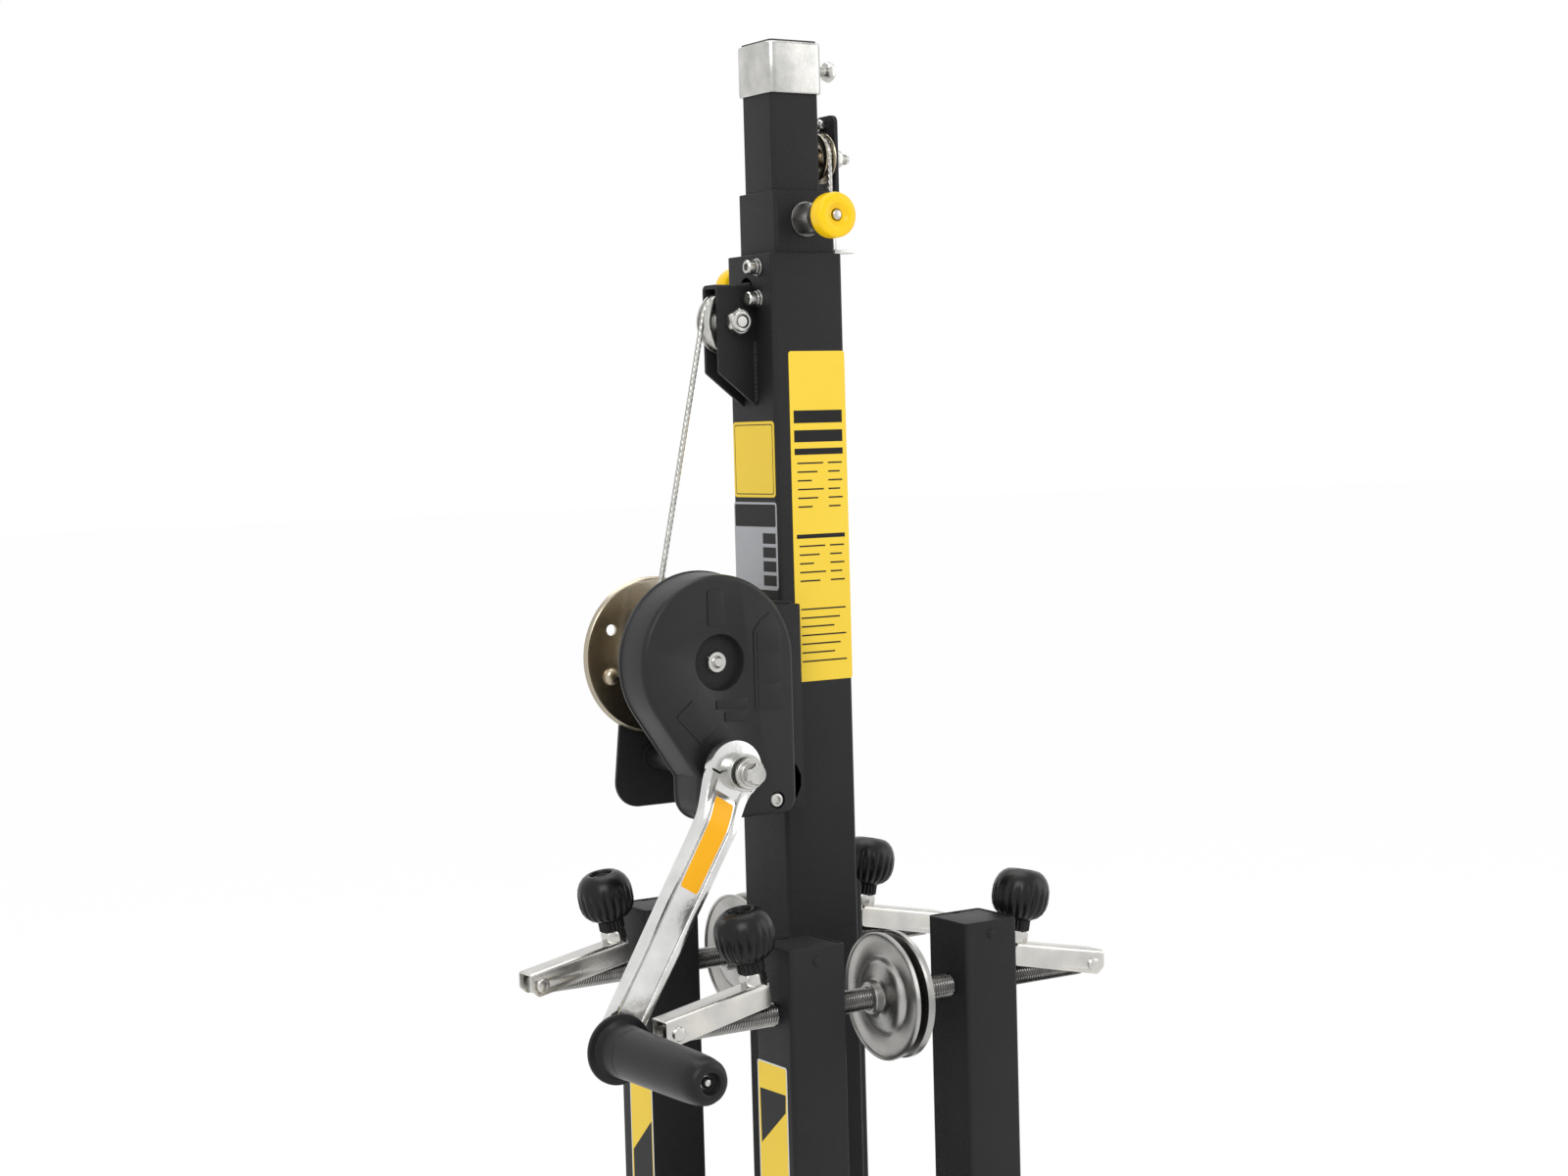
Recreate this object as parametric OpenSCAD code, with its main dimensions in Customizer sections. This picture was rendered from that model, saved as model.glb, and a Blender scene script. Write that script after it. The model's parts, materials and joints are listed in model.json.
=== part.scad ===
// Three-section lifting tower with a hand winch and four stored stabiliser legs.
// Millimetres. The origin is on the floor under the mast's axis, +Z is up the mast,
// +X is away from the winch and -Y is the side that the gear cover and the crank face.

/* [Mast] */
// Height of the closed tower, from the floor to the top of the inner mast
closed_height = 1590; // [1500:10:1700]
// Outside width of the outer mast tube
outer_w = 60; // [58:1:64]
// Outside width of the middle mast tube
mid_w = 50; // [50:0.5:51]
// Outside width of the inner mast tube
inner_w = 40; // [39.5:0.5:40.5]
// Wall of the mast tubes
mast_wall = 2; // [1.8:0.1:2.2]
// Corner radius of the mast tubes
mast_corner = 3; // [2:0.5:4]
// Length of inner mast that shows above the middle mast
inner_show = 106.4; // [100:1:120]
// Length of middle mast that shows above the outer mast
mid_show = 44.3; // [40:1:60]
// Height of the bright collar round the inner mast's top
collar_h = 36; // [30:1:45]
// Travel of each mast section
stroke = 1205; // [1000:5:1210]
// Wall of the bright collar
collar_wall = 2; // [1.5:0.5:3]
// Diameter of the round socket in the top of the inner mast
socket_d = 35.5; // [33:0.5:35.5]
// Depth of the round socket
socket_depth = 60; // [40:5:80]

/* [Base] */
// Outside width of the square leg sockets
socket_w = 52; // [52:1:56]
// Wall of the leg sockets
socket_wall = 3; // [2.5:0.5:3]
// Reach of the four horizontal sockets from the mast's axis
socket_reach = 175; // [165:5:200]
// Thickness of the base plate
plate_t = 6; // [5:1:10]
// Height of the upright sockets that store the legs
store_h = 60; // [50:5:62]
// Diameter of the transport wheels
wheel_d = 110; // [100:2:110]
// Width of a transport wheel
wheel_w = 22; // [18:1:26]
// Distance of the wheel axle from the rear socket's open end
axle_inset = 7; // [5:0.5:7]
// Distance of a trigger from the open end of its socket
trigger_inset = 25; // [24:0.5:28]

/* [Legs] */
// Outside width of a leg tube
leg_w = 45; // [43:0.5:45]
// Wall of a leg tube
leg_wall = 2.5; // [2:0.5:3]
// Height of the tops of the stored legs
leg_top = 967.7; // [960:1:970]
// Distance of the stored legs from the mast's axis along X
leg_x = 73; // [72:0.5:74]
// Distance of the front legs in front of the mast's axis
front_y = 109.5; // [109:0.5:112]
// Distance of the rear legs behind the mast's axis
rear_y = 84; // [82:0.5:85]

/* [Jacks] */
// Diameter of a jack screw
screw_d = 16; // [14:0.5:16]
// Drop of the jack screw's axis below the leg's top
screw_drop = 46.7; // [44:1:50]
// Distance from the mast's axis plane to the pin at the crank end of the screw
pin_reach = 174.5; // [172:0.5:174.5]
// Diameter of the dished foot
foot_d = 89; // [84:1:92]
// Distance from the middle to the rim of a stored foot
foot_gap = 2.2; // [2:0.2:4]
// Diameter of the ball knob
knob_d = 41; // [40:0.5:44]
// Height of the ball knob
knob_h = 35; // [34:0.5:36]
// Clearance between the ball knob and the face of its leg
knob_gap = 0.5; // [0.5:0.1:3]
// Width of the folding arm
arm_w = 19.6; // [19:0.2:22]

/* [Rope] */
// Diameter of the wire rope
rope_d = 4; // [3.5:0.1:4]
// Offset of the winch rope's plane behind the mast's axis
rope_y = 4.5; // [4:0.5:5]
// Distance of the upper pulley's axle from the mast's axis, which sets that pulley's size
top_pulley_x = 46.1; // [45:0.1:48]
// Distance of that pulley's axle below the top of the outer mast
top_pulley_drop = 47.6; // [45:1:52]
// Width of that pulley over its hub
top_pulley_w = 14; // [13:0.2:15]
// Diameter of the pulley on the middle mast
mid_pulley_d = 36; // [34:1:38]
// Height of that pulley's axle above the top of the middle mast
mid_pulley_rise = 26; // [24:1:28]

/* [Winch] */
// Height of the drum's axis
drum_z = 1157; // [1150:1:1165]
// Distance of the drum's axis from the mast's axis
drum_x = 100.5; // [100:0.5:103]
// Diameter of the drum's core
core_d = 32; // [28:1:36]
// Diameter of the drum's flanges
flange_d = 112; // [100:1:112]
// Teeth of the drum's gear
gear_teeth = 50; // [50:1:50]
// Teeth of the pinion
pinion_teeth = 15; // [15:1:15]
// Module of the gears
gear_module = 2.25; // [2.2:0.01:2.25]
// Thickness of the winch's plates
frame_t = 3; // [2.5:0.5:3]
// Distance of the winch frame's lower edge below the drum's axis
frame_drop = 108; // [106:1:112]
// Depth of the gear cover
cover_depth = 32; // [31:1:34]
// Wall of the gear cover
cover_wall = 2; // [1.5:0.25:2]
// Radius of the crank, from its shaft to the grip
crank_r = 202.4; // [202:0.2:208]
// Clearance between the resting grip and the tip of the folded jack arm
grip_clear = 3.3; // [2:0.1:8]
// Length of the crank's grip
grip_l = 119; // [100:1:125]
// Diameter of the grip
grip_d = 36; // [32:1:36]

/* [Hidden] */
$fn = 64;

// Clearances: at the touching side of the slides, between loose flat faces,
// and round a shaft that turns in its hole
slide_gap = 0.3;
loose = 0.3;
run = 0.05;

// Heights of the mast
outer_top = closed_height - inner_show - mid_show;
mid_top = closed_height - inner_show;
base_top = socket_w + plate_t;
mid_foot = base_top + 10;
inner_foot = mid_foot + 15;

// The tubes lean on alternate walls, which leaves a rope gap on the other side
mid_x = outer_w / 2 - mast_wall - mid_w / 2 - slide_gap;
inner_x = mid_x - (mid_w / 2 - mast_wall - inner_w / 2 - slide_gap);
outer_face = outer_w / 2;
outer_inside = outer_face - mast_wall;
mid_left = mid_x - mid_w / 2;
mid_right = mid_x + mid_w / 2;
inner_right = inner_x + inner_w / 2;
hoist_x = (mid_left - outer_inside) / 2;
transfer_x = (inner_right + mid_right - mast_wall) / 2;
pad_h = 38;

// Ropes and pulleys
rope_r = rope_d / 2;
top_wheel_r = top_pulley_x + hoist_x;
top_rim_r = top_wheel_r + rope_r;
top_pulley_z = outer_top - top_pulley_drop;
slot_half = top_pulley_w / 2 + 1.3;
slot_h = 64;
mid_wheel_r = mid_pulley_d / 2 - rope_r - 1.7;
mid_pulley_z = mid_top + mid_pulley_rise;
mid_pulley_w = 10;
mid_pulley_x = mid_right + 3.8;
strap_x = mid_pulley_x + mid_pulley_w / 2 + 1.5;
strap_t = 3;
strap_half = 12;
strap_foot = mid_top - 28.6;
notch_z = mid_top - 32;
anchor_reach = 17;
anchor_top = outer_top + 3.7;
ferrule_h = 9;

// Locks
lock_drop = 20.3;
lock_face = 42.5;
lock_knob_d = 32;
lock_knob_l = 14;
lock_pin_r = 4;
sleeve_l = 24;

// Winch
near_y = -30;
far_y = 36;
web_t = 4;
web_face = -(outer_face + web_t);
frame_foot = drum_z - frame_drop;
web_foot = frame_foot + 2;
web_top = drum_z + 36;
plate_root = -outer_face - 20;
plate_corner_r = 18;
plate_head_r = 22;
plate_belly_r = 25;
plate_belly = [-drum_x + 6.5, web_foot + plate_belly_r];
far_reach = 13.5;
centre_distance = gear_module * (gear_teeth + pinion_teeth) / 2;
pinion_z = drum_z - centre_distance;
gear_r = gear_module * gear_teeth / 2;
gear_y = near_y - 13;
gear_t = 10;
pinion_t = 13;
cover_front = near_y - cover_depth;
cover_r = gear_r + gear_module + 0.7 + cover_wall;
cover_step = 3;
hub_r = 12;
hub_pocket_r = 19;
hub_pocket_depth = 11;
axle_r = 6;
shaft_r = 8;
ratchet_r = 17.4;
ratchet_y = gear_y - 9;
ratchet_t = 5;
pawl_pivot = [-drum_x + 38, pinion_z + 8];
pawl_pin_r = 3;
eye_r = 21;
eye_back = cover_front - 9;
eye_front = eye_back - 8;
crank_depth = 7.8;
crank_front = eye_front - 9.6;
crank_back = crank_front + crank_depth;
crank_wall = 2.5;
crank_panel = crank_front + 5.4;
bend_from = 16;
bend_to = 45;
collar_r = 13;
collar_y = eye_front - 14;
washer_y = collar_y - 6.5;
arm_tip = pin_reach + 9.5;
grip_dx = arm_tip + grip_clear + grip_d / 2 - drum_x;
crank_angle = asin(grip_dx / crank_r);
grip_dz = crank_r * cos(crank_angle);
grip_x = -drum_x - grip_dx;
grip_z = pinion_z - grip_dz;
grip_root = crank_front - 3.4;
grip_pin_r = 5;
near_flange_y = near_y + 7;
far_flange_y = far_y - frame_t - 5;
rim_depth = 4;
flange_t = 2.5;
wind_r = core_d / 2 + rope_r + 0.1;
wind_pitch = rope_d + 0.5;
wind_from = far_flange_y - rope_r - 0.5;

// Base
axle_y = socket_reach - axle_inset;
store_in = leg_w + 1;
store_w = store_in + 2 * socket_wall;
leg_foot = base_top + loose;
plate_x = leg_x + store_w / 2 + 2;
plate_front = front_y + store_w / 2 + 2;
plate_rear = rear_y + store_w / 2 + 2;
trigger_at = socket_reach - trigger_inset;
trigger_pin_r = 5;
trigger_tip = 8;
boss_h = 18;
axle_z = base_top + 1;
wheel_axle_r = 5;
ear_in = 18;
ear_t = 5;
wheel_in = ear_in + ear_t + 5;
wheel_out = wheel_in + wheel_w;

// Legs and jacks
screw_r = screw_d / 2;
screw_z = leg_top - screw_drop;
leg_boss_r = 14.5;
leg_boss_out = 1.5;
cap_t = 2.5;
arm_end = leg_x + leg_w / 2 + 7.5;
arm_t = 1.5;
arm_top_tip = screw_z + 9;
arm_top_end = screw_z + 25;
arm_low_end = screw_z + screw_r + loose;
arm_slope = atan2(arm_top_end - arm_top_tip, arm_tip - arm_end);
arm_pin_r = 3;
stud_r = 4;
stud_l = 22;
knob_stem = 8;
knob_neck = 8.5;
knob_up = knob_stem + knob_neck + knob_h / 2;
knob_reach = leg_x + leg_w / 2 + knob_gap + knob_d / 2 - knob_up * sin(arm_slope);

// Direction of the path p at its point i
function path_dir(p, i) = let(d = p[min(i + 1, len(p) - 1)] - p[max(i - 1, 0)]) d / norm(d);

// One ring of n points of radius r round point i of the path p; ref is never along the path
function ring(p, i, r, n, ref) =
    let(t = path_dir(p, i), b = cross(t, ref) / norm(cross(t, ref)), c = cross(b, t))
    [for (k = [0 : n - 1]) p[i] + r * (cos(360 * k / n) * b + sin(360 * k / n) * c)];

// Solid tube of n sides along the path p
module tube_along(p, r, n, ref) {
    last = (len(p) - 1) * n;
    points = [for (i = [0 : len(p) - 1]) each ring(p, i, r, n, ref)];
    sides = [for (i = [0 : len(p) - 2], k = [0 : n - 1])
        let(a = i * n + k, b = i * n + (k + 1) % n)
        each [[a, b, b + n], [a, b + n, a + n]]];
    start_cap = [for (k = [1 : n - 2]) [0, k + 1, k]];
    end_cap = [for (k = [1 : n - 2]) [last, last + k, last + k + 1]];
    polyhedron(points, concat(sides, start_cap, end_cap));
}

// Two points where the outer tangent from circle a to circle b touches them, anticlockwise
function tangent(a, b) =
    let(d = [b[0] - a[0], b[1] - a[1]], turn = atan2(d[1], d[0]) - acos((a[2] - b[2]) / norm(d)),
        n = [cos(turn), sin(turn)])
    [[a[0], a[1]] + a[2] * n, [b[0], b[1]] + b[2] * n];

// Outline of a belt round circles [x, y, radius], given anticlockwise; grow widens each one
module belt(circles, grow = 0) {
    ring = [for (c = circles) [c[0], c[1], c[2] + grow]];
    polygon([for (i = [0 : len(ring) - 1]) each tangent(ring[i], ring[(i + 1) % len(ring)])]);
    for (c = ring) translate([c[0], c[1]]) circle(c[2]);
}

// Square with round corners, centred
module rounded(w, d, r) {
    square([w - 2 * r, d], center = true);
    square([w, d - 2 * r], center = true);
    for (x = [-1, 1], y = [-1, 1]) translate([x * (w / 2 - r), y * (d / 2 - r)]) circle(r);
}

// Square tube standing on z0
module square_tube(w, wall, r, z0, z1) {
    translate([0, 0, z0]) linear_extrude(z1 - z0) difference() {
        rounded(w, w, r);
        rounded(w - 2 * wall, w - 2 * wall, max(r - wall, 0.6));
    }
}

// A block between two corners, a plate drawn in the XZ plane and one drawn in the YZ plane
module block(low, high) {
    translate(low) cube(high - low);
}

module xz_plate(y0, y1) {
    translate([0, y1, 0]) rotate([90, 0, 0]) linear_extrude(y1 - y0) children();
}

module yz_plate(x0, x1) {
    translate([x0, 0, 0]) rotate([90, 0, 90]) linear_extrude(x1 - x0) children();
}

// Rods along the three axes
module rod_x(y, z, r, x0, x1, sides = 64) {
    translate([x0, y, z]) rotate([0, 90, 0]) cylinder(h = x1 - x0, r = r, $fn = sides);
}

module rod_y(x, z, r, y0, y1, sides = 64) {
    translate([x, y1, z]) rotate([90, 0, 0]) cylinder(h = y1 - y0, r = r, $fn = sides);
}

module rod_z(x, y, r, z0, z1, sides = 64) {
    translate([x, y, z0]) cylinder(h = z1 - z0, r = r, $fn = sides);
}

// Solid of revolution round an axis along Y, drawn as [radius, y]
module turned_y(x, z, outline) {
    translate([x, 0, z]) rotate([-90, 0, 0]) rotate_extrude() polygon(outline);
}

// Solid of revolution round an axis along X, drawn as [radius, x]
module turned_x(y, z, outline) {
    translate([0, y, z]) rotate([0, 90, 0]) rotate_extrude() polygon(outline);
}

// Things drawn for the right-hand legs, put at a leg: side is 1 or -1 along X
module at_leg(side, y) {
    translate([0, y, 0]) mirror([side < 0 ? 1 : 0, 0, 0]) children();
}

// Base

module base_plate() {
    color([0.12, 0.12, 0.13]) difference() {
        union() {
            block([-plate_x, -plate_front, socket_w], [plate_x, plate_rear, base_top]);
            block([-ear_in - ear_t, plate_rear - 1, socket_w],
                [ear_in + ear_t, axle_y + 14, base_top]);
            for (s = [-1, 1])
                yz_plate(s > 0 ? ear_in : -ear_in - ear_t, s > 0 ? ear_in + ear_t : -ear_in) union() {
                    translate([axle_y - 12, base_top - 1]) square([24, axle_z - base_top + 4]);
                    translate([axle_y, axle_z + 3]) circle(12);
                }
        }
        block([-ear_in - ear_t - 1, plate_rear, 0], [ear_in + ear_t + 1, axle_y + 20, socket_w]);
        rod_x(axle_y, axle_z, wheel_axle_r + run, -40, 40);
        rod_z(0, trigger_at, 11, socket_w - 1, base_top + 1);
    }
}

// One horizontal socket along +X with its trigger boss
module leg_socket(from) {
    difference() {
        union() {
            translate([from, 0, socket_w / 2]) rotate([90, 0, 90])
                linear_extrude(socket_reach - from) rounded(socket_w, socket_w, 3);
            rod_z(trigger_at, 0, 10, socket_w - 2, socket_w + boss_h);
        }
        translate([from - 1, 0, socket_w / 2]) rotate([90, 0, 90])
            linear_extrude(socket_reach - from + 2)
            rounded(socket_w - 2 * socket_wall, socket_w - 2 * socket_wall, 1);
        rod_z(trigger_at, 0, trigger_pin_r + run, socket_w / 2, socket_w + boss_h + 1);
    }
}

// The two sockets along X are one tube with a wall in its middle
module sockets_x() {
    color([0.12, 0.12, 0.13]) union() {
        leg_socket(1);
        rotate([0, 0, 180]) leg_socket(1);
        block([-1.5, -socket_w / 2, 0], [1.5, socket_w / 2, socket_w]);
    }
}

module sockets_y() {
    color([0.12, 0.12, 0.13]) for (a = [90, -90]) rotate([0, 0, a]) leg_socket(socket_w / 2);
}

module storage_sockets() {
    color([0.12, 0.12, 0.13]) for (x = [-leg_x, leg_x], y = [-front_y, rear_y])
        translate([x, y, 0]) square_tube(store_w, socket_wall, 3, base_top, base_top + store_h);
}

module trigger(a) {
    color([0.95, 0.75, 0.05]) rotate([0, 0, a]) translate([trigger_at, 0, 0]) union() {
        rod_z(0, 0, trigger_pin_r, socket_w - socket_wall - trigger_tip,
            socket_w + boss_h + 4);
        rod_z(0, 0, 11, socket_w + boss_h + loose, socket_w + boss_h + 14);
    }
}

module wheel_set() {
    rim = wheel_d / 2;
    color([0.6, 0.6, 0.6]) rod_x(axle_y, axle_z, wheel_axle_r, -wheel_out - 3, wheel_out + 3);
    color([0.08, 0.08, 0.08]) for (s = [-1, 1]) turned_x(axle_y, axle_z, [
        [wheel_axle_r, s * wheel_in], [16, s * wheel_in], [16, s * (wheel_in + 5)],
        [rim - 14, s * (wheel_in + 5)], [rim - 12, s * wheel_in], [rim - 3, s * wheel_in],
        [rim, s * (wheel_in + 3)], [rim, s * (wheel_out - 3)], [rim - 3, s * wheel_out],
        [rim - 12, s * wheel_out], [rim - 14, s * (wheel_out - 5)], [16, s * (wheel_out - 5)],
        [16, s * wheel_out], [wheel_axle_r, s * wheel_out]
    ]);
}

// Outer mast and what it carries

module outer_mast() {
    color([0.14, 0.14, 0.15]) difference() {
        square_tube(outer_w, mast_wall, mast_corner, base_top, outer_top);
        translate([0, rope_y, top_pulley_z])
            yz_plate(-outer_w, -outer_w / 4) stadium(slot_half, slot_h);
        for (z = screw_heights) rod_x(pad_screw_y, z, 3, -outer_w, -outer_w / 4);
        for (y = [-16, 16], z = winch_bolt_z) rod_x(y, z, 4, -outer_w, -outer_w / 4);
        rod_y(0, outer_top - lock_drop, lock_pin_r + run, 0, outer_w);
    }
}

// Upright slot outline, half as wide as given and h high
module stadium(half, h) {
    square([2 * half, h - 2 * half], center = true);
    for (s = [-1, 1]) translate([0, s * (h / 2 - half)]) circle(half);
}

screw_heights = [outer_top - 9.3, outer_top - 31.6];

// Slide pads at the top of the outer mast
module mast_liners() {
    pad_low = outer_top - pad_h - 4;
    pad_high = outer_top - 4;
    color([0.05, 0.05, 0.05]) {
        difference() {
            block([-outer_inside, pad_screw_y - 9, pad_low],
                [mid_left - slide_gap, rope_y - slot_half - loose, pad_high]);
            for (z = screw_heights) rod_x(pad_screw_y, z, 3, -outer_w, 0);
        }
        block([-15, -outer_inside, pad_low], [20, -mid_w / 2 - slide_gap, pad_high]);
        difference() {
            block([-15, mid_w / 2 + slide_gap, pad_low], [20, outer_inside, pad_high]);
            rod_y(0, outer_top - lock_drop, lock_pin_r + run, 0, outer_w);
        }
    }
}

// Socket screw with its washers, head to the left of x
module cap_screw(x, y, z, tip) {
    rod_x(y, z, 6.4, x - 1.6, x);
    rod_x(y, z, 4.8, x - 3.6, x - 1);
    difference() {
        rod_x(y, z, 5, x - 11.6, x - 3);
        rod_x(y, z, 2.9, x - 12, x - 8, 6);
    }
    rod_x(y, z, 3, x - 2, tip);
}

// Screws, the winch's bolts, the cover's screw and the upper pulley's axle bolt
module mast_screws() {
    color([0.78, 0.78, 0.76]) {
        for (z = screw_heights) cap_screw(-outer_face, pad_screw_y, z, mid_left - 1);
        for (y = [-16, 16], z = winch_bolt_z) {
            rod_x(y, z, 7.5, web_face - 5.3, web_face, 6);
            rod_x(y, z, 4, web_face - 1, -outer_inside);
        }
        rod_y(cover_screw[0], cover_screw[1], 5, cover_front - 3, cover_front);
        rod_y(cover_screw[0], cover_screw[1], 2.5, cover_front - 1, near_y + frame_t + 1);
        union() {
            rod_y(-top_pulley_x, top_pulley_z, 5, cheek_near - 11, cheek_far + 3);
            rod_y(-top_pulley_x, top_pulley_z, 9.6, cheek_far, cheek_far + 6.4, 6);
        }
        difference() {
            union() {
                rod_y(-top_pulley_x, top_pulley_z, 9.6, cheek_near - 8, cheek_near, 6);
                rod_y(-top_pulley_x, top_pulley_z, 7, cheek_near - 10.5, cheek_near);
            }
            rod_y(-top_pulley_x, top_pulley_z, 5, cheek_near - 12, cheek_near + 1);
        }
    }
}

winch_bolt_z = [drum_z - 95, drum_z + 30];
cheek_t = 3;
cheek_near = rope_y - top_pulley_w / 2 - loose - cheek_t;
cheek_far = rope_y + top_pulley_w / 2 + loose + cheek_t;
cheek_out = top_pulley_x + 14.4;
roof_z = top_pulley_z + top_rim_r + 0.6;
pad_screw_y = cheek_near - 6.5;

module pulley_bracket() {
    color([0.12, 0.12, 0.13]) difference() {
        union() {
            for (y = [cheek_near, cheek_far - cheek_t])
                xz_plate(y, y + cheek_t) polygon([
                    [-outer_face, top_pulley_z - 61.5], [-outer_face, roof_z + 3],
                    [-cheek_out + 4, roof_z + 3], [-cheek_out, roof_z - 1],
                    [-cheek_out, top_pulley_z - 36.5]
                ]);
            xz_plate(cheek_near + 1, cheek_far - 1) polygon([
                [-outer_face, roof_z], [-outer_face, roof_z + 3],
                [-cheek_out + 4, roof_z + 3], [-cheek_out, roof_z - 1],
                [-cheek_out + 2, roof_z - 3], [-cheek_out + 5, roof_z]
            ]);
        }
        rod_y(-top_pulley_x, top_pulley_z, 5, cheek_near - 1, cheek_far + 1);
    }
}

// Grooved wheel on an axis along Y or X, drawn as [radius, place on the axis]: the hub
// reaches to half, the flanges to side, and lip is a flange's width at the rim
function sheave(rim, groove, bore, half, side, lip) = [
    [bore, -half], [groove - 4, -half], [groove - 2, -side], [rim - 0.8, -side],
    [rim, -side + 0.4], [rim, lip - side], [groove, 0.3 - rope_r], [groove, rope_r - 0.3],
    [rim, side - lip], [rim, side - 0.4], [rim - 0.8, side], [groove - 2, side],
    [groove - 4, half], [bore, half]
];

module top_pulley() {
    color([0.8, 0.8, 0.78]) translate([0, rope_y, 0])
        turned_y(-top_pulley_x, top_pulley_z,
            sheave(top_rim_r, top_wheel_r - rope_r - 0.2, 5 + run, top_pulley_w / 2,
                top_pulley_w / 2 - 1, 1.1));
}

// Hexagonal sleeve on a mast face, and the plunger that slides in it. Both are drawn along +Y.
module lock_sleeve() {
    difference() {
        union() {
            rod_y(0, 0, 12.5, 0, sleeve_l, 6);
            rod_y(0, 0, 14, 0, 2);
        }
        rod_y(0, 0, lock_pin_r + run, -1, sleeve_l + 1);
    }
}

module lock_plunger(step) {
    knob_y = lock_face - lock_knob_l;
    color([0.55, 0.55, 0.55]) rod_y(0, 0, lock_pin_r, loose - step, knob_y + 1);
    color([0.98, 0.78, 0.05]) difference() {
        turned_y(0, 0, [
            [0, knob_y], [lock_knob_d / 2 - 2, knob_y], [lock_knob_d / 2, knob_y + 2],
            [lock_knob_d / 2, lock_face - 3], [lock_knob_d / 2 - 1, lock_face - 1],
            [lock_knob_d / 2 - 3, lock_face], [4.5, lock_face], [4.5, lock_face - 3],
            [0, lock_face - 3]
        ]);
    }
}

module outer_lock_place() {
    translate([0, outer_face, outer_top - lock_drop]) children();
}

module mid_lock_place() {
    translate([mid_x, -mid_w / 2, mid_top - lock_drop]) mirror([0, 1, 0]) children();
}

module outer_lock_sleeve() {
    color([0.12, 0.12, 0.12]) outer_lock_place() lock_sleeve();
}

module outer_lock_plunger() {
    outer_lock_place() lock_plunger((outer_w - mid_w) / 2);
}

module mid_lock_sleeve() {
    color([0.12, 0.12, 0.12]) mid_lock_place() lock_sleeve();
}

module mid_lock_plunger() {
    mid_lock_place() lock_plunger((mid_w - inner_w) / 2);
}

// Lug on the outer mast's top and the ferrule that ends the transfer rope
module rope_anchor() {
    y = -mid_wheel_r;
    color([0.6, 0.6, 0.6]) union() {
        block([outer_face, y - 6, anchor_top - 26], [outer_face + 3, y + 6, anchor_top]);
        block([outer_face, y - 6, anchor_top - 3], [outer_face + anchor_reach, y + 6, anchor_top]);
        rod_z(mid_pulley_x, y, 3.6, anchor_top - 1, anchor_top + ferrule_h);
    }
}

// Ropes

// Where the rope leaves the drum and the upper pulley: one straight line touches both
span = [drum_x - top_pulley_x, top_pulley_z - drum_z];
lean = atan2(span[0], span[1]) + asin((wind_r - top_wheel_r) / norm(span));
leave_drum = [-drum_x - wind_r * cos(lean), drum_z + wind_r * sin(lean)];
leave_pulley = [-top_pulley_x - top_wheel_r * cos(lean), top_pulley_z + top_wheel_r * sin(lean)];
hoist_start = leave_drum + (rope_d + 1) * [sin(lean), cos(lean)];

// The winding ends this much before the rope that runs up, so that their ends don't overlap
rope_break = 0.1;
wind_last = hoist_start - rope_break * [sin(lean), cos(lean)];

hoist_path = concat(
    [[hoist_start[0], rope_y, hoist_start[1]]],
    [for (k = [0 : 12]) let(a = (180 - lean) * (1 - k / 12))
        [-top_pulley_x + top_wheel_r * cos(a), rope_y, top_pulley_z + top_wheel_r * sin(a)]],
    [[hoist_x, rope_y, mid_foot + 13]]
);

module hoist_rope() {
    color([0.7, 0.7, 0.68]) tube_along(hoist_path, rope_r, 8, [0, 1, 0]);
}

// The winding runs from its clamp by the far flange to the place where the rope leaves
wind_turns = (wind_from - rope_y) / wind_pitch;
wind_end = 180 - lean;
wind_steps = ceil(wind_turns * 24);
wind_path = concat(
    [wind_point(0) - (rope_d + 1) * wind_run(0)],
    [for (i = [0 : wind_steps]) wind_point(i)],
    [[wind_last[0], rope_y, wind_last[1]]]
);

// Point i of the winding, and the direction of the rope there
function wind_angle(i) = wind_end + 360 * wind_turns * (wind_steps - i) / wind_steps;
function wind_point(i) = [
    -drum_x + wind_r * cos(wind_angle(i)),
    wind_from - wind_pitch * wind_turns * i / wind_steps,
    drum_z + wind_r * sin(wind_angle(i))
];
function wind_run(i) = let(a = wind_angle(i)) [sin(a), 0, -cos(a)];

// Least clear distance of the winding to itself, taken between points half a turn apart or more
wind_gap = min([for (i = [0 : wind_steps - 12], j = [i + 12 : wind_steps])
    norm(wind_point(i) - wind_point(j))]) - rope_d;
echo(least_gap_of_winding = wind_gap);

module rope_winding() {
    color([0.7, 0.7, 0.68]) tube_along(wind_path, rope_r, 6, [0, 1, 0]);
}

// From the anchor up, over the middle mast's pulley, and down between middle and inner mast
transfer_path = concat(
    [[mid_pulley_x, -mid_wheel_r, anchor_top + ferrule_h]],
    [for (k = [0 : 12]) let(a = 180 - k * 15)
        [mid_pulley_x, mid_wheel_r * cos(a), mid_pulley_z + mid_wheel_r * sin(a)]],
    [[transfer_x, mid_wheel_r, notch_z], [transfer_x, mid_wheel_r, inner_foot + 13]]
);

module transfer_rope() {
    color([0.7, 0.7, 0.68]) tube_along(transfer_path, rope_r, 8, [1, 0, 0]);
}

// Middle mast and what it carries

module mid_mast() {
    color([0.16, 0.16, 0.17]) union() {
        difference() {
            translate([mid_x, 0, 0]) square_tube(mid_w, mast_wall, mast_corner, mid_foot, mid_top);
            block([mid_right - mast_wall - 1, mid_wheel_r - rope_r - 1.2, notch_z],
                [mid_right + 1, mid_wheel_r + rope_r + 1.2, mid_top + 1]);
            rod_y(mid_x, mid_top - lock_drop, lock_pin_r + run, -mid_w, 0);
            rod_y(0, outer_top - lock_drop - stroke, lock_pin_r + 0.5, 0, mid_w);
        }
        block([hoist_x - rope_r, rope_y - 4, mid_foot], [mid_left + 0.5, rope_y + 4, mid_foot + 13]);
    }
}

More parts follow.
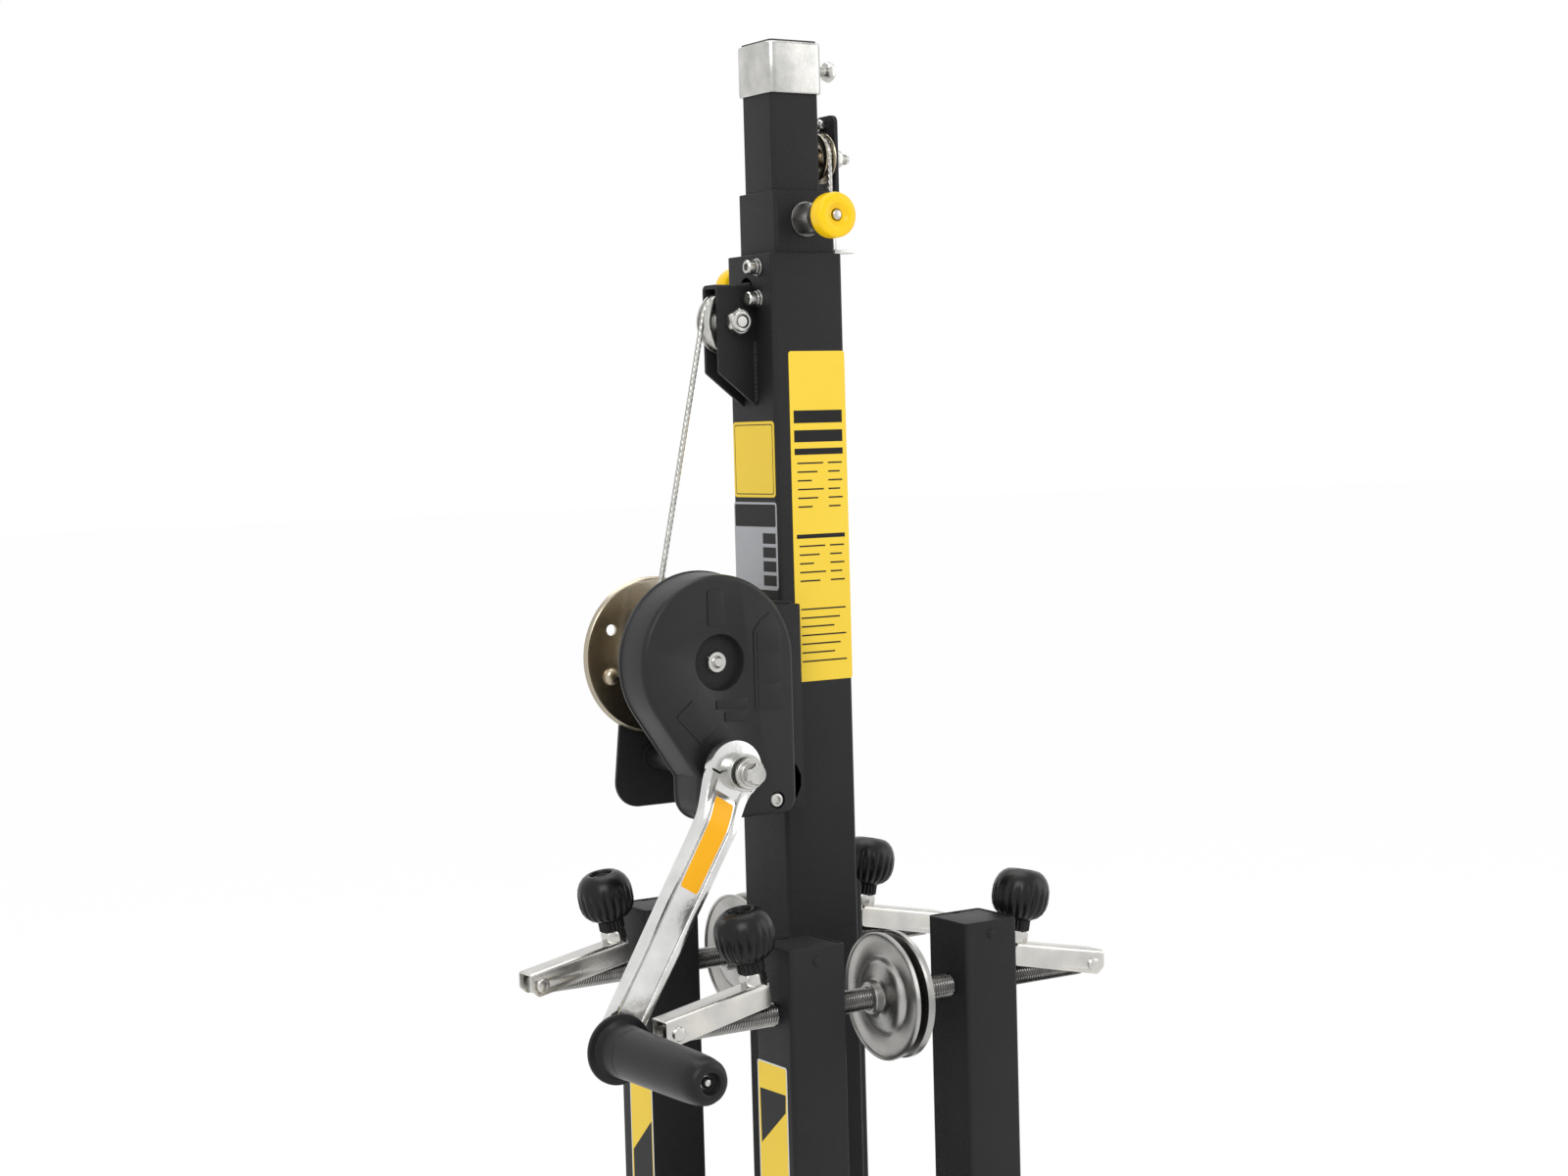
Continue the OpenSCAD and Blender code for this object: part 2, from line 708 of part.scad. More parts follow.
// Pads outside the middle mast's foot and inside its top
module mid_pads() {
    low = mid_top - pad_h - 2;
    color([0.06, 0.06, 0.06]) {
        for (s = [-1, 1]) {
            block_y(mid_x - 15, mid_x + 15, s * mid_w / 2, s * (outer_inside - slide_gap),
                mid_foot, mid_foot + pad_h);
            difference() {
                block_y(inner_x - 14, inner_x + 14, s * (inner_w / 2 + slide_gap),
                    s * (mid_w / 2 - mast_wall), low, mid_top - 2);
                rod_y(mid_x, mid_top - lock_drop, lock_pin_r + run, -mid_w, 0);
            }
        }
        block([-outer_inside + slide_gap, -20, mid_foot], [mid_left, -3, mid_foot + pad_h]);
        block([inner_right + slide_gap, -18, low], [mid_right - mast_wall, 6, mid_top - 2]);
    }
}

// A block whose two Y faces may come in either order
module block_y(x0, x1, ya, yb, z0, z1) {
    block([x0, min(ya, yb), z0], [x1, max(ya, yb), z1]);
}

module mid_pulley_bracket() {
    top = mid_pulley_z + 30.5;
    color([0.12, 0.12, 0.13]) difference() {
        union() {
            yz_plate(strap_x, strap_x + strap_t) union() {
                translate([-strap_half, strap_foot]) square([2 * strap_half, top - strap_foot - 5]);
                translate([-strap_half + 5, top - 6]) square([2 * strap_half - 10, 6]);
                for (s = [-1, 1]) translate([s * (strap_half - 5), top - 5]) circle(5);
            }
            block([mid_right, -strap_half, strap_foot],
                [strap_x + 1, strap_half, strap_foot + strap_t]);
        }
        rod_x(0, mid_pulley_z, 4, strap_x - 1, strap_x + strap_t + 1);
        rod_x(3, mid_pulley_z + 24, 3, strap_x - 1, strap_x + strap_t + 1);
    }
}

module mid_pulley() {
    color([0.8, 0.78, 0.7]) translate([mid_pulley_x, 0, 0])
        turned_x(0, mid_pulley_z,
            sheave(mid_pulley_d / 2, mid_wheel_r - rope_r - 0.2, 4 + run, mid_pulley_w / 2,
                mid_pulley_w / 2 - 0.6, 0.5));
}

// Axle bolt of the middle mast's pulley with its nut, and the pin that keeps the rope on
module mid_pulley_bolts() {
    out = strap_x + strap_t;
    color([0.8, 0.8, 0.78]) {
        rod_x(0, mid_pulley_z, 4, mid_pulley_x - mid_pulley_w / 2 - 1, out + 16);
        rod_x(0, mid_pulley_z, 7, mid_pulley_x - mid_pulley_w / 2 - 4.7,
            mid_pulley_x - mid_pulley_w / 2 - 0.4, 6);
        difference() {
            rod_x(0, mid_pulley_z, 7.5, out, out + 8, 6);
            rod_x(0, mid_pulley_z, 4, out - 1, out + 9);
        }
        rod_x(3, mid_pulley_z + 24, 3, inner_right + 2, out + 2);
    }
}

// Inner mast and what it carries

module inner_mast() {
    color([0.18, 0.18, 0.19]) difference() {
        union() {
            translate([inner_x, 0, 0])
                square_tube(inner_w, mast_wall, mast_corner, inner_foot, closed_height);
            translate([inner_x, 0, closed_height - socket_depth]) linear_extrude(socket_depth)
                rounded(inner_w - 2 * mast_wall + 0.4, inner_w - 2 * mast_wall + 0.4, 1.2);
            block([inner_right - 0.5, mid_wheel_r - 3, inner_foot],
                [transfer_x + rope_r, mid_wheel_r + 3, inner_foot + 13]);
        }
        rod_z(inner_x, 0, socket_d / 2, closed_height - socket_depth - 1, closed_height + 1);
        rod_x(0, clamp_z, 4, inner_x, inner_right + 1);
        rod_y(mid_x, mid_top - lock_drop - stroke, lock_pin_r + 0.5, -inner_w, 0);
    }
}

clamp_z = closed_height - 16.5;

// Collar with the bolt of its clamp
module top_collar() {
    face = inner_right + collar_wall;
    color([0.85, 0.85, 0.83]) difference() {
        translate([inner_x, 0, 0])
            square_tube(inner_w + 2 * collar_wall, collar_wall, 4.5,
                closed_height - 1.5 - collar_h, closed_height - 1.5);
        translate([inner_x, 0, closed_height - 2 - collar_h]) linear_extrude(collar_h + 2)
            rounded(inner_w, inner_w, mast_corner);
    }
    color([0.8, 0.8, 0.78]) {
        rod_x(0, clamp_z, 4, inner_x + socket_d / 2 + 0.3, face + 17);
        rod_x(0, clamp_z, 7.5, face + 17, face + 23, 6);
        rod_x(0, clamp_z, 7.5, face - 0.5, face + 5, 6);
    }
}

// Winch

module winch_frame() {
    r = plate_corner_r;
    head = [[plate_root, web_top - r, r], [-drum_x, drum_z, plate_head_r]];
    color([0.1, 0.1, 0.1]) difference() {
        union() {
            block([web_face, near_y, web_foot], [-outer_face, far_y, web_top]);
            xz_plate(near_y, near_y + frame_t) union() {
                belt(concat([[plate_belly[0], plate_belly[1], plate_belly_r],
                    [plate_root, web_foot + r, r]], head));
                translate([plate_root, web_foot])
                    square([-outer_face - plate_root, web_top - web_foot]);
            }
            xz_plate(far_y - frame_t, far_y) union() {
                belt(concat([[-drum_x - far_reach, frame_foot + r, r],
                    [plate_root, frame_foot + r, r]], head));
                translate([plate_root, web_foot])
                    square([-outer_face - plate_root, web_top - web_foot]);
            }
            rod_y(-drum_x, pinion_z, 10.5, far_y - frame_t - 2, far_y - frame_t + 1);
            rod_y(pawl_pivot[0], pawl_pivot[1], pawl_pin_r, ratchet_y - 3, near_y + 1);
        }
        rod_y(-drum_x, drum_z, hub_r, near_y - 1, near_y + frame_t + 1);
        rod_y(-drum_x, drum_z, axle_r, far_y - frame_t - 1, far_y + 1);
        rod_y(-drum_x, pinion_z, shaft_r + run, near_y - 1, far_y + 1);
        rod_y(cover_screw[0], cover_screw[1], 2.5, near_y - 1, near_y + frame_t + 1);
        for (y = [-16, 16], z = winch_bolt_z) rod_x(y, z, 4, web_face - 1, -outer_face + 1);
    }
}

// Sides of the gear cover: a ring round the gear, drawn in to the pinion's square foot
cover_right = cover_r - drum_x;
cover_bottom = pinion_z - 37;
cover_screw = [cover_right - 18, cover_bottom + 11];

module cover_outline(grow) {
    belt([[-drum_x, drum_z, cover_r], [-drum_x - 16.5, pinion_z - 1, 6],
        [cover_right - 12, pinion_z, 12]], grow);
    belt([[-drum_x - 2.5, cover_bottom + 18, 18], [cover_right - 12, cover_bottom + 12, 12],
        [cover_right - 12, pinion_z + 40, 12], [-drum_x - 8.5, pinion_z + 11, 12]], grow);
}

module gear_cover() {
    pocket_back = cover_front + hub_pocket_depth;
    color([0.07, 0.07, 0.07]) difference() {
        union() {
            difference() {
                union() {
                    xz_plate(cover_front, cover_front + 6) cover_outline(-cover_step);
                    xz_plate(cover_front + 5, near_y) cover_outline(0);
                }
                xz_plate(cover_front + cover_wall, near_y + 1)
                    cover_outline(-cover_step - cover_wall);
                xz_plate(cover_front + 5 + cover_wall, near_y + 1) cover_outline(-cover_wall);
            }
            rod_y(-drum_x, drum_z, hub_pocket_r + cover_wall, cover_front + 1, pocket_back + 2);
            rod_y(cover_screw[0], cover_screw[1], 5, cover_front + 1, near_y);
        }
        rod_y(-drum_x, drum_z, hub_pocket_r, cover_front - 1, pocket_back);
        rod_y(-drum_x, drum_z, axle_r + 1, cover_front, near_y);
        rod_y(-drum_x, pinion_z, shaft_r + 3, cover_front - 1, cover_front + 5);
        rod_y(cover_screw[0], cover_screw[1], 2.5, cover_front - 1, near_y + 1);
    }
}

module drum_axle() {
    pocket_back = cover_front + hub_pocket_depth;
    color([0.8, 0.8, 0.78]) {
        union() {
            rod_y(-drum_x, drum_z, axle_r, pocket_back - 10, far_y + 3);
            rod_y(-drum_x, drum_z, 10.5, far_y, far_y + 7, 6);
        }
        difference() {
            rod_y(-drum_x, drum_z, 10.5, pocket_back - 8, pocket_back, 6);
            rod_y(-drum_x, drum_z, axle_r, pocket_back - 9, pocket_back + 1);
        }
    }
}

module drum() {
    lug = wind_point(0) - (rope_d + 1) * wind_run(0);
    color([0.72, 0.69, 0.6]) difference() {
        union() {
            turned_y(-drum_x, drum_z, [
                [axle_r + run, gear_y], [hub_r - run, gear_y], [hub_r - run, near_flange_y - flange_t],
                [flange_d / 2, near_flange_y - flange_t], [flange_d / 2, near_flange_y],
                [core_d / 2, near_flange_y], [core_d / 2, far_flange_y],
                [flange_d / 2, far_flange_y], [flange_d / 2, far_flange_y + rim_depth],
                [flange_d / 2 - 3, far_flange_y + rim_depth],
                [flange_d / 2 - 3, far_flange_y + flange_t],
                [axle_r + run, far_flange_y + flange_t]
            ]);
            translate(lug) rotate([0, -wind_angle(0), 0])
                translate([-5, -rope_r - 0.5, 0]) cube([7, rope_d + 1, 5]);
            rod_y(-drum_x + 38 * cos(200), drum_z + 38 * sin(200), 6.5, far_flange_y - 5,
                far_flange_y + 1);
        }
        rod_y(-drum_x + 40 * cos(150), drum_z + 40 * sin(150), 4, far_flange_y - 1,
            far_flange_y + flange_t + 1);
    }
}

// Involute tooth: half its angle at radius r, for n teeth, thinned by play at the pitch circle
function involute(a) = tan(a) * 180 / PI - a;
function half_tooth(r, n, play) =
    let(pitch_r = gear_module * n / 2, base_r = pitch_r * cos(20))
    90 / n - play / pitch_r * 90 / PI + involute(20) - involute(acos(min(1, base_r / max(r, base_r))));

// Outline of a spur gear with n teeth
module gear_outline(n, play) {
    pitch_r = gear_module * n / 2;
    radii = [pitch_r - 1.25 * gear_module, pitch_r, pitch_r + 0.9 * gear_module];
    polygon([for (k = [0 : n - 1]) each concat(
        [for (r = radii) let(a = 360 * k / n - half_tooth(r, n, play)) r * [cos(a), sin(a)]],
        [for (i = [2 : -1 : 0]) let(a = 360 * k / n + half_tooth(radii[i], n, play))
            radii[i] * [cos(a), sin(a)]])]);
}

gear_play = 0.25;

module drum_gear() {
    color([0.5, 0.5, 0.5]) difference() {
        translate([-drum_x, gear_y + gear_t, drum_z]) rotate([90, 0, 0]) linear_extrude(gear_t)
            gear_outline(gear_teeth, gear_play);
        rod_y(-drum_x, drum_z, hub_r - run, gear_y - 1, gear_y + gear_t + 1);
    }
}

module pinion_shaft() {
    color([0.6, 0.6, 0.6]) union() {
        rod_y(-drum_x, pinion_z, shaft_r, collar_y, far_y + 3);
        translate([-drum_x, near_y - 1, pinion_z]) rotate([90, 0, 0]) linear_extrude(pinion_t)
            rotate([0, 0, 90]) gear_outline(pinion_teeth, gear_play);
    }
}

// Saw-toothed wheel and the pawl that drops into it
module ratchet_wheel() {
    color([0.55, 0.55, 0.5]) difference() {
        translate([-drum_x, ratchet_y + ratchet_t, pinion_z]) rotate([90, 0, 0])
            linear_extrude(ratchet_t) polygon([for (k = [0 : 11])
                each [ratchet_r * [cos(30 * k), sin(30 * k)],
                    (ratchet_r - 4) * [cos(30 * k + 3), sin(30 * k + 3)]]]);
        rod_y(-drum_x, pinion_z, shaft_r, ratchet_y - 1, ratchet_y + ratchet_t + 1);
    }
}

module pawl() {
    tip = [-drum_x + (ratchet_r + 2.8) * cos(42), pinion_z + (ratchet_r + 2.8) * sin(42), 2];
    color([0.5, 0.5, 0.48]) difference() {
        xz_plate(ratchet_y, ratchet_y + ratchet_t)
            belt([tip, [pawl_pivot[0], pawl_pivot[1], 5.5]]);
        rod_y(pawl_pivot[0], pawl_pivot[1], pawl_pin_r + run, ratchet_y - 1, ratchet_y + ratchet_t + 1);
    }
}

// Things drawn with the crank's shaft at the origin and its grip along +X, put at rest
module at_crank() {
    translate([-drum_x, 0, pinion_z]) rotate([0, 90 + crank_angle, 0]) children();
}

// Outline of the arm from its eye to its rounded end, drawn in by an offset
module crank_outline(inset) {
    circle(eye_r - inset);
    polygon([[0, inset - 15], [crank_r, inset - 11], [crank_r, 11 - inset], [0, 15 - inset]]);
    translate([crank_r, 0]) circle(11 - inset);
}

// The arm is a channel, open to the front, that is bent forward between its eye and its grip
module crank_arm() {
    end = crank_r + 12;
    color([0.85, 0.85, 0.83]) at_crank() difference() {
        intersection() {
            xz_plate(crank_front, eye_back) crank_outline(0);
            translate([0, 0, -eye_r - 1]) linear_extrude(2 * eye_r + 2) polygon([
                [-eye_r - 1, eye_back], [-eye_r - 1, eye_front], [bend_from, eye_front],
                [bend_to, crank_front], [end, crank_front], [end, crank_back],
                [bend_to + 2, crank_back], [bend_from + 2, eye_back]
            ]);
        }
        intersection() {
            xz_plate(crank_front - 1, eye_front + 2.5) difference() {
                crank_outline(crank_wall);
                circle(eye_r + 1);
                translate([crank_r, 0]) square(26, center = true);
            }
            translate([0, 0, -eye_r - 1]) linear_extrude(2 * eye_r + 2) polygon([
                [bend_from, crank_front - 2], [bend_from, eye_front + 2.5],
                [bend_to, crank_panel], [end, crank_panel], [end, crank_front - 2]
            ]);
        }
        rod_y(0, 0, shaft_r, eye_front - 1, eye_back + 1);
        rod_y(crank_r, 0, grip_pin_r, crank_front - 1, crank_back + 1);
    }
}

// Collar, washers and bolt on the crank's shaft, and the pin that the grip turns on
module crank_bolts() {
    color([0.8, 0.8, 0.78]) {
        union() {
            difference() {
                rod_y(-drum_x, pinion_z, collar_r, collar_y, eye_front);
                rod_y(-drum_x, pinion_z, shaft_r, collar_y - 1, eye_front + 1);
            }
            rod_y(-drum_x, pinion_z, 9, washer_y, collar_y);
            rod_y(-drum_x, pinion_z, 10.8, washer_y, washer_y + 3.5);
            rod_y(-drum_x, pinion_z, 8.6, washer_y - 1.5, washer_y);
            rod_y(-drum_x, pinion_z, 7.2, washer_y - 7.5, washer_y - 1, 6);
        }
        union() {
            rod_y(grip_x, grip_z, grip_pin_r, grip_root - grip_l + 8, crank_back);
            rod_y(grip_x, grip_z, 8, crank_back, crank_back + 2.5);
            rod_y(grip_x, grip_z, 9, grip_root + loose, crank_front);
        }
    }
}

module crank_grip() {
    r = grip_d / 2;
    color([0.06, 0.06, 0.06]) turned_y(grip_x, grip_z, [
        [grip_pin_r + run, grip_root], [r + 5.6, grip_root], [r + 5.6, grip_root - 3],
        [r + 0.4, grip_root - 3.2], [r - 0.5, grip_root - 14], [r - 1.5, grip_root - grip_l + 22],
        [r - 3.2, grip_root - grip_l + 4], [r - 6, grip_root - grip_l], [0, grip_root - grip_l],
        [0, grip_root - grip_l + 7], [grip_pin_r + run, grip_root - grip_l + 7]
    ]);
}

// Legs and jacks, drawn for the right-hand side

module leg(side, y) {
    color([0.15, 0.15, 0.16]) at_leg(side, y) difference() {
        union() {
            translate([leg_x, 0, 0]) square_tube(leg_w, leg_wall, 3, leg_foot, leg_top);
            translate([leg_x, 0, leg_top - cap_t]) linear_extrude(cap_t) rounded(leg_w, leg_w, 3);
            rod_x(0, screw_z, leg_boss_r, leg_x - leg_w / 2 - leg_boss_out,
                leg_x + leg_w / 2 + leg_boss_out);
        }
        rod_x(0, screw_z, screw_r + run, leg_x - leg_w, leg_x + leg_w);
        rod_x(0, leg_foot + 50, trigger_pin_r + 0.3, leg_x, leg_x + leg_w);
    }
}

module foot(side, y) {
    rim = foot_d / 2;
    g = foot_gap;
    color([0.8, 0.8, 0.76]) at_leg(side, y) turned_x(0, screw_z, [
        [screw_r + run, g + 5], [13, g + 5], [13, g + 10], [23, g + 10], [26.5, g + 6],
        [rim - 2.5, g + 6], [rim - 2.5, g], [rim, g], [rim, g + 6.5], [rim - 2, g + 8.5],
        [27.5, g + 8.5], [24, g + 12.5], [12.5, g + 12.5], [11.5, g + 16.5],
        [screw_r + run, g + 16.5]
    ]);
}

module jack_screw(side, y) {
    color([0.75, 0.75, 0.72]) at_leg(side, y) difference() {
        union() {
            rod_x(0, screw_z, screw_r, foot_gap + 4.5, pin_reach - 7);
            rod_x(0, screw_z, screw_r - 2, pin_reach - 8, pin_reach + 6);
        }
        rod_y(pin_reach, screw_z, arm_pin_r + run, -screw_d, screw_d);
    }
}

// Height of the arm's top face at the distance x along the screw
function arm_top(x) = arm_top_end + (arm_top_tip - arm_top_end) * (x - arm_end) / (arm_tip - arm_end);

// Things on the ball knob's axis, which stands square on the arm's top face at the origin
module at_knob() {
    translate([knob_reach, 0, arm_top(knob_reach)]) rotate([0, arm_slope, 0]) children();
}

module jack_arm(side, y) {
    half = arm_w / 2;
    color([0.8, 0.8, 0.78]) at_leg(side, y) {
        difference() {
            xz_plate(-half, half) polygon([
                [arm_end, arm_top_end], [arm_end, arm_low_end], [arm_tip - 6, screw_z - 8],
                [arm_tip, screw_z - 3], [arm_tip, arm_top_tip]
            ]);
            xz_plate(-half + arm_t, half - arm_t) polygon([
                [arm_end + arm_t, arm_top(arm_end + arm_t) - arm_t],
                [arm_end + arm_t, screw_z - 20], [arm_tip + 1, screw_z - 20],
                [arm_tip + 1, arm_top(arm_tip + 1) - arm_t]
            ]);
            rod_y(pin_reach, screw_z, arm_pin_r, -half - 1, half + 1);
        }
        rod_y(pin_reach, screw_z, arm_pin_r, -half - 2, half + 2);
        at_knob() union() {
            rod_z(0, 0, stud_r, -1, knob_stem + stud_l);
            rod_z(0, 0, 8, -1, knob_stem - loose, 6);
        }
    }
}

module ball_knob(side, y) {
    r = knob_d / 2;
    cut = knob_h / 2;
    edge = asin(cut / r);
    bore_top = knob_stem + stud_l + loose - knob_up;
    color([0.06, 0.06, 0.06]) at_leg(side, y) at_knob() translate([0, 0, knob_up])
        rotate_extrude() polygon(concat(
            [[stud_r + run, -cut - knob_neck], [9.5, -cut - knob_neck], [9, -cut]],
            [for (k = [0 : 16]) let(a = -edge + 2 * edge * k / 16) r * [cos(a), sin(a)]],
            [[8, cut], [8, cut - 3], [0, cut - 3], [0, bore_top], [stud_r + run, bore_top]]));
}

base_plate();
sockets_x();
sockets_y();
storage_sockets();
outer_mast();
mast_liners();
mast_screws();
pulley_bracket();
outer_lock_sleeve();
rope_anchor();
hoist_rope();
winch_frame();
gear_cover();
drum_axle();
top_pulley();
outer_lock_plunger();
pinion_shaft();
ratchet_wheel();
crank_arm();
crank_bolts();
crank_grip();
drum();
drum_gear();
rope_winding();
pawl();
wheel_set();
trigger(180);  // trigger_left
trigger(0);  // trigger_right
trigger(-90);  // trigger_front
trigger(90);  // trigger_rear
mid_mast();
mid_pads();
mid_lock_sleeve();
mid_lock_plunger();
mid_pulley_bracket();
mid_pulley();
mid_pulley_bolts();
transfer_rope();
inner_mast();
top_collar();
leg(-1, -front_y);  // leg_front_left
foot(-1, -front_y);  // foot_front_left
jack_screw(-1, -front_y);  // screw_front_left
jack_arm(-1, -front_y);  // arm_front_left
ball_knob(-1, -front_y);  // knob_front_left
leg(1, -front_y);  // leg_front_right
foot(1, -front_y);  // foot_front_right
jack_screw(1, -front_y);  // screw_front_right
jack_arm(1, -front_y);  // arm_front_right
ball_knob(1, -front_y);  // knob_front_right
leg(-1, rear_y);  // leg_rear_left
foot(-1, rear_y);  // foot_rear_left
jack_screw(-1, rear_y);  // screw_rear_left
jack_arm(-1, rear_y);  // arm_rear_left
ball_knob(-1, rear_y);  // knob_rear_left
leg(1, rear_y);  // leg_rear_right
foot(1, rear_y);  // foot_rear_right
jack_screw(1, rear_y);  // screw_rear_right
jack_arm(1, rear_y);  // arm_rear_right
ball_knob(1, rear_y);  // knob_rear_right
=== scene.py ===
# Looks of a wind-up lifting tower in its storage pose. Lengths in this script are millimetres
# until a mesh is made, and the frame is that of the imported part: origin on the floor under the
# mast's axis, +Z up, the winch on the mast's -X face, the crank on the -Y side.
import bmesh
import bpy
import json
import math
from mathutils import Matrix, Vector


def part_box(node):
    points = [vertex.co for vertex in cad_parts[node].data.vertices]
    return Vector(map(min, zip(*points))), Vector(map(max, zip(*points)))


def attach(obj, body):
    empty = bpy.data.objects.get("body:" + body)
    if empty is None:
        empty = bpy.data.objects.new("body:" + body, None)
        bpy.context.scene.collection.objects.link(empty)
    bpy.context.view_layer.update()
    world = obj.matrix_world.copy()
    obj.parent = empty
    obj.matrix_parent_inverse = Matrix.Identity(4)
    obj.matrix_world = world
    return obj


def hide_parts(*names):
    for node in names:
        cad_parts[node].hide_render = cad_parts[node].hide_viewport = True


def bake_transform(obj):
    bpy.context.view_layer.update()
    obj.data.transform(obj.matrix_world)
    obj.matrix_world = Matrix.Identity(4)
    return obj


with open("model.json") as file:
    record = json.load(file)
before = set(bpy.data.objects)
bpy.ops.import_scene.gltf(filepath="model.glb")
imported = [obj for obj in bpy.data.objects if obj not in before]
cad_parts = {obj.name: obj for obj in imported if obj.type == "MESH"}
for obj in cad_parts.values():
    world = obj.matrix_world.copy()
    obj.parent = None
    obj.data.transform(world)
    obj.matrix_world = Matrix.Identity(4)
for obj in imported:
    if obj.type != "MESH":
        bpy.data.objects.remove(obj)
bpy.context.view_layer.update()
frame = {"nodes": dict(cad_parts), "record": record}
scene = bpy.context.scene
MM = 0.001


def corners(node):
    """Lowest and highest corner of a CAD node in millimetres."""
    low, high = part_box(node)
    return low / MM, high / MM


def middle(node):
    low, high = corners(node)
    return (low + high) / 2


# Places read from the frame
OUTER_LOW, OUTER_HIGH = corners("outer_mast")
MID_TOP = corners("mid_mast")[1].z
MID_X = middle("mid_lock_plunger").x
DRUM_AXIS = middle("drum_gear")
PINION_AXIS = middle("ratchet_wheel")
GRIP_AXIS = middle("crank_grip")
TOP_PULLEY = middle("top_pulley")
MID_PULLEY = middle("mid_pulley")
OUTER_FACE = OUTER_HIGH.x
COVER_LOW, COVER_HIGH = corners("gear_cover")
SCREW_Z = middle("screw_front_right").z
SCREW_END = 6
PIN_X = corners("screw_front_right")[1].x - SCREW_END
DRUM_SHAFT = (DRUM_AXIS.x, 0, DRUM_AXIS.z)
PINION_SHAFT = (PINION_AXIS.x, 0, PINION_AXIS.z)
GRIP_PIN = (GRIP_AXIS.x, 0, GRIP_AXIS.z)
CRANK_R = math.hypot(GRIP_AXIS.x - PINION_AXIS.x, GRIP_AXIS.z - PINION_AXIS.z)
CRANK_TURN = 90 + math.degrees(math.atan2(PINION_AXIS.x - GRIP_AXIS.x,
                                         PINION_AXIS.z - GRIP_AXIS.z))

# Hexagons of standard nuts and bolt heads, across flats
M5_HEX = 8
M8_HEX = 13
M10_HEX = 17
M12_HEX = 19

# Mast and ropes
TUBE_CORNER = 3.2
MAST_WALL = 2.0
MID_W = 50.0
INNER_W = 40.0
SLOT_HALF = 8.3
SLOT_REACH = 32
SPIGOT_R = 17.75
SPIGOT_DEPTH = 60
FOOT_LUG = 13
MID_LUG = (-27.1, -21.9)
INNER_LUG = (19.6, 24.8)
PAD_SCREW_DROPS = (9.3, 31.6)
WINCH_BOLT_Y = 16
WINCH_BOLT_RISES = (-95, 30)
WINCH_WEB = 4
NOTCH_DROP = 32
ROPE_R = 2.0
ROPE_LAY = 26.0
ROPE_Y = TOP_PULLEY.y
WIND_R = 18.1
WIND_PITCH = 4.5
ROPE_LEAD = 5
TOP_WHEEL_R = 20.95
MID_WHEEL_R = 14.3

# Winch; the cover's profile is how far its outline grows, and how deep behind its face
COVER_SCREW = (-57.3, 0, 1057.9)
COVER_PROFILE = [(-3.2, 3.5), (-2.6, 17), (-2.2, 32), (0.7, 32), (0.9, 31.5), (0.9, 30),
                 (0.3, 29.6), (0, 29.3), (-0.5, 17), (-1, 5), (-1.3, 3.2), (-2, 1.6), (-3, 0.6),
                 (-4.3, 0.05), (-4.8, 0)]
NEAR_PLATE_NOSE = (-94, 1076, 25)
FAR_PLATE_NOSE = (-114, 1067, 18)
PLATE_HEAD_R = 22
NEAR_FLANGE_Y = -23

# Crank, drawn with its shaft at the origin and its grip along +X
STICKER_ENDS = (22, 88)
STICKER_HALF = (8.0, 7.4)
ARM_DEPTH = 7.8
EYE_DEPTH = 8
EYE_R = 21
EYE_BEND = (8, 44)
PANEL_BEND = (14, 22)
ARM_TAPER = 88

# Legs and jacks: the side of each leg, the folding arm's ends and heights over the screw's axis
LEGS = {"front_left": -1, "front_right": 1, "rear_left": -1, "rear_right": 1}
LEG_HALF = 22.5
ARM_START = 103.0
ARM_RISE = 25
ARM_TIP_RISE = 9
ARM_RUN = 81
ARM_SLOPE = math.atan2(ARM_RISE - ARM_TIP_RISE, ARM_RUN)
KNOB_FOOT_X = 116.5 - 34 * math.sin(ARM_SLOPE)
KNOB_SPLINES = 20

# Base and labels
WELD_REACH = 20.8
SOCKET_EDGE = 26
WHEEL_INNER = 28
WHEEL_OUTER = 50
LEG_LABEL_FOOT = 700
LABEL_LINE = 1.1
LABEL_LINE_STEP = 6.2

# Camera and lights
CAMERA_PLACE = Vector((-1.0196, -1.5901, 1.3140))
CAMERA_ANGLES = (-32.47, 3.44, -1.56)
CAMERA_LENS = 60.05
SENSOR_WIDTH = 36
CLIP_END = 50
FLOOR_HALF = 40
FLOOR_GLOW = 1.08
FLOOR_GLOW_SHARE = 0.84
WORLD_LIGHT = 0.55
LIGHT_TARGET = (0, 0, 1.0)
LIGHTS = {"key": ((-2.2, -2.6, 3.4), 2.0, 60), "fill": ((2.8, -2.0, 2.2), 2.5, 26),
          "top": ((0.2, 0.6, 4.0), 2.5, 40)}


# Shapes

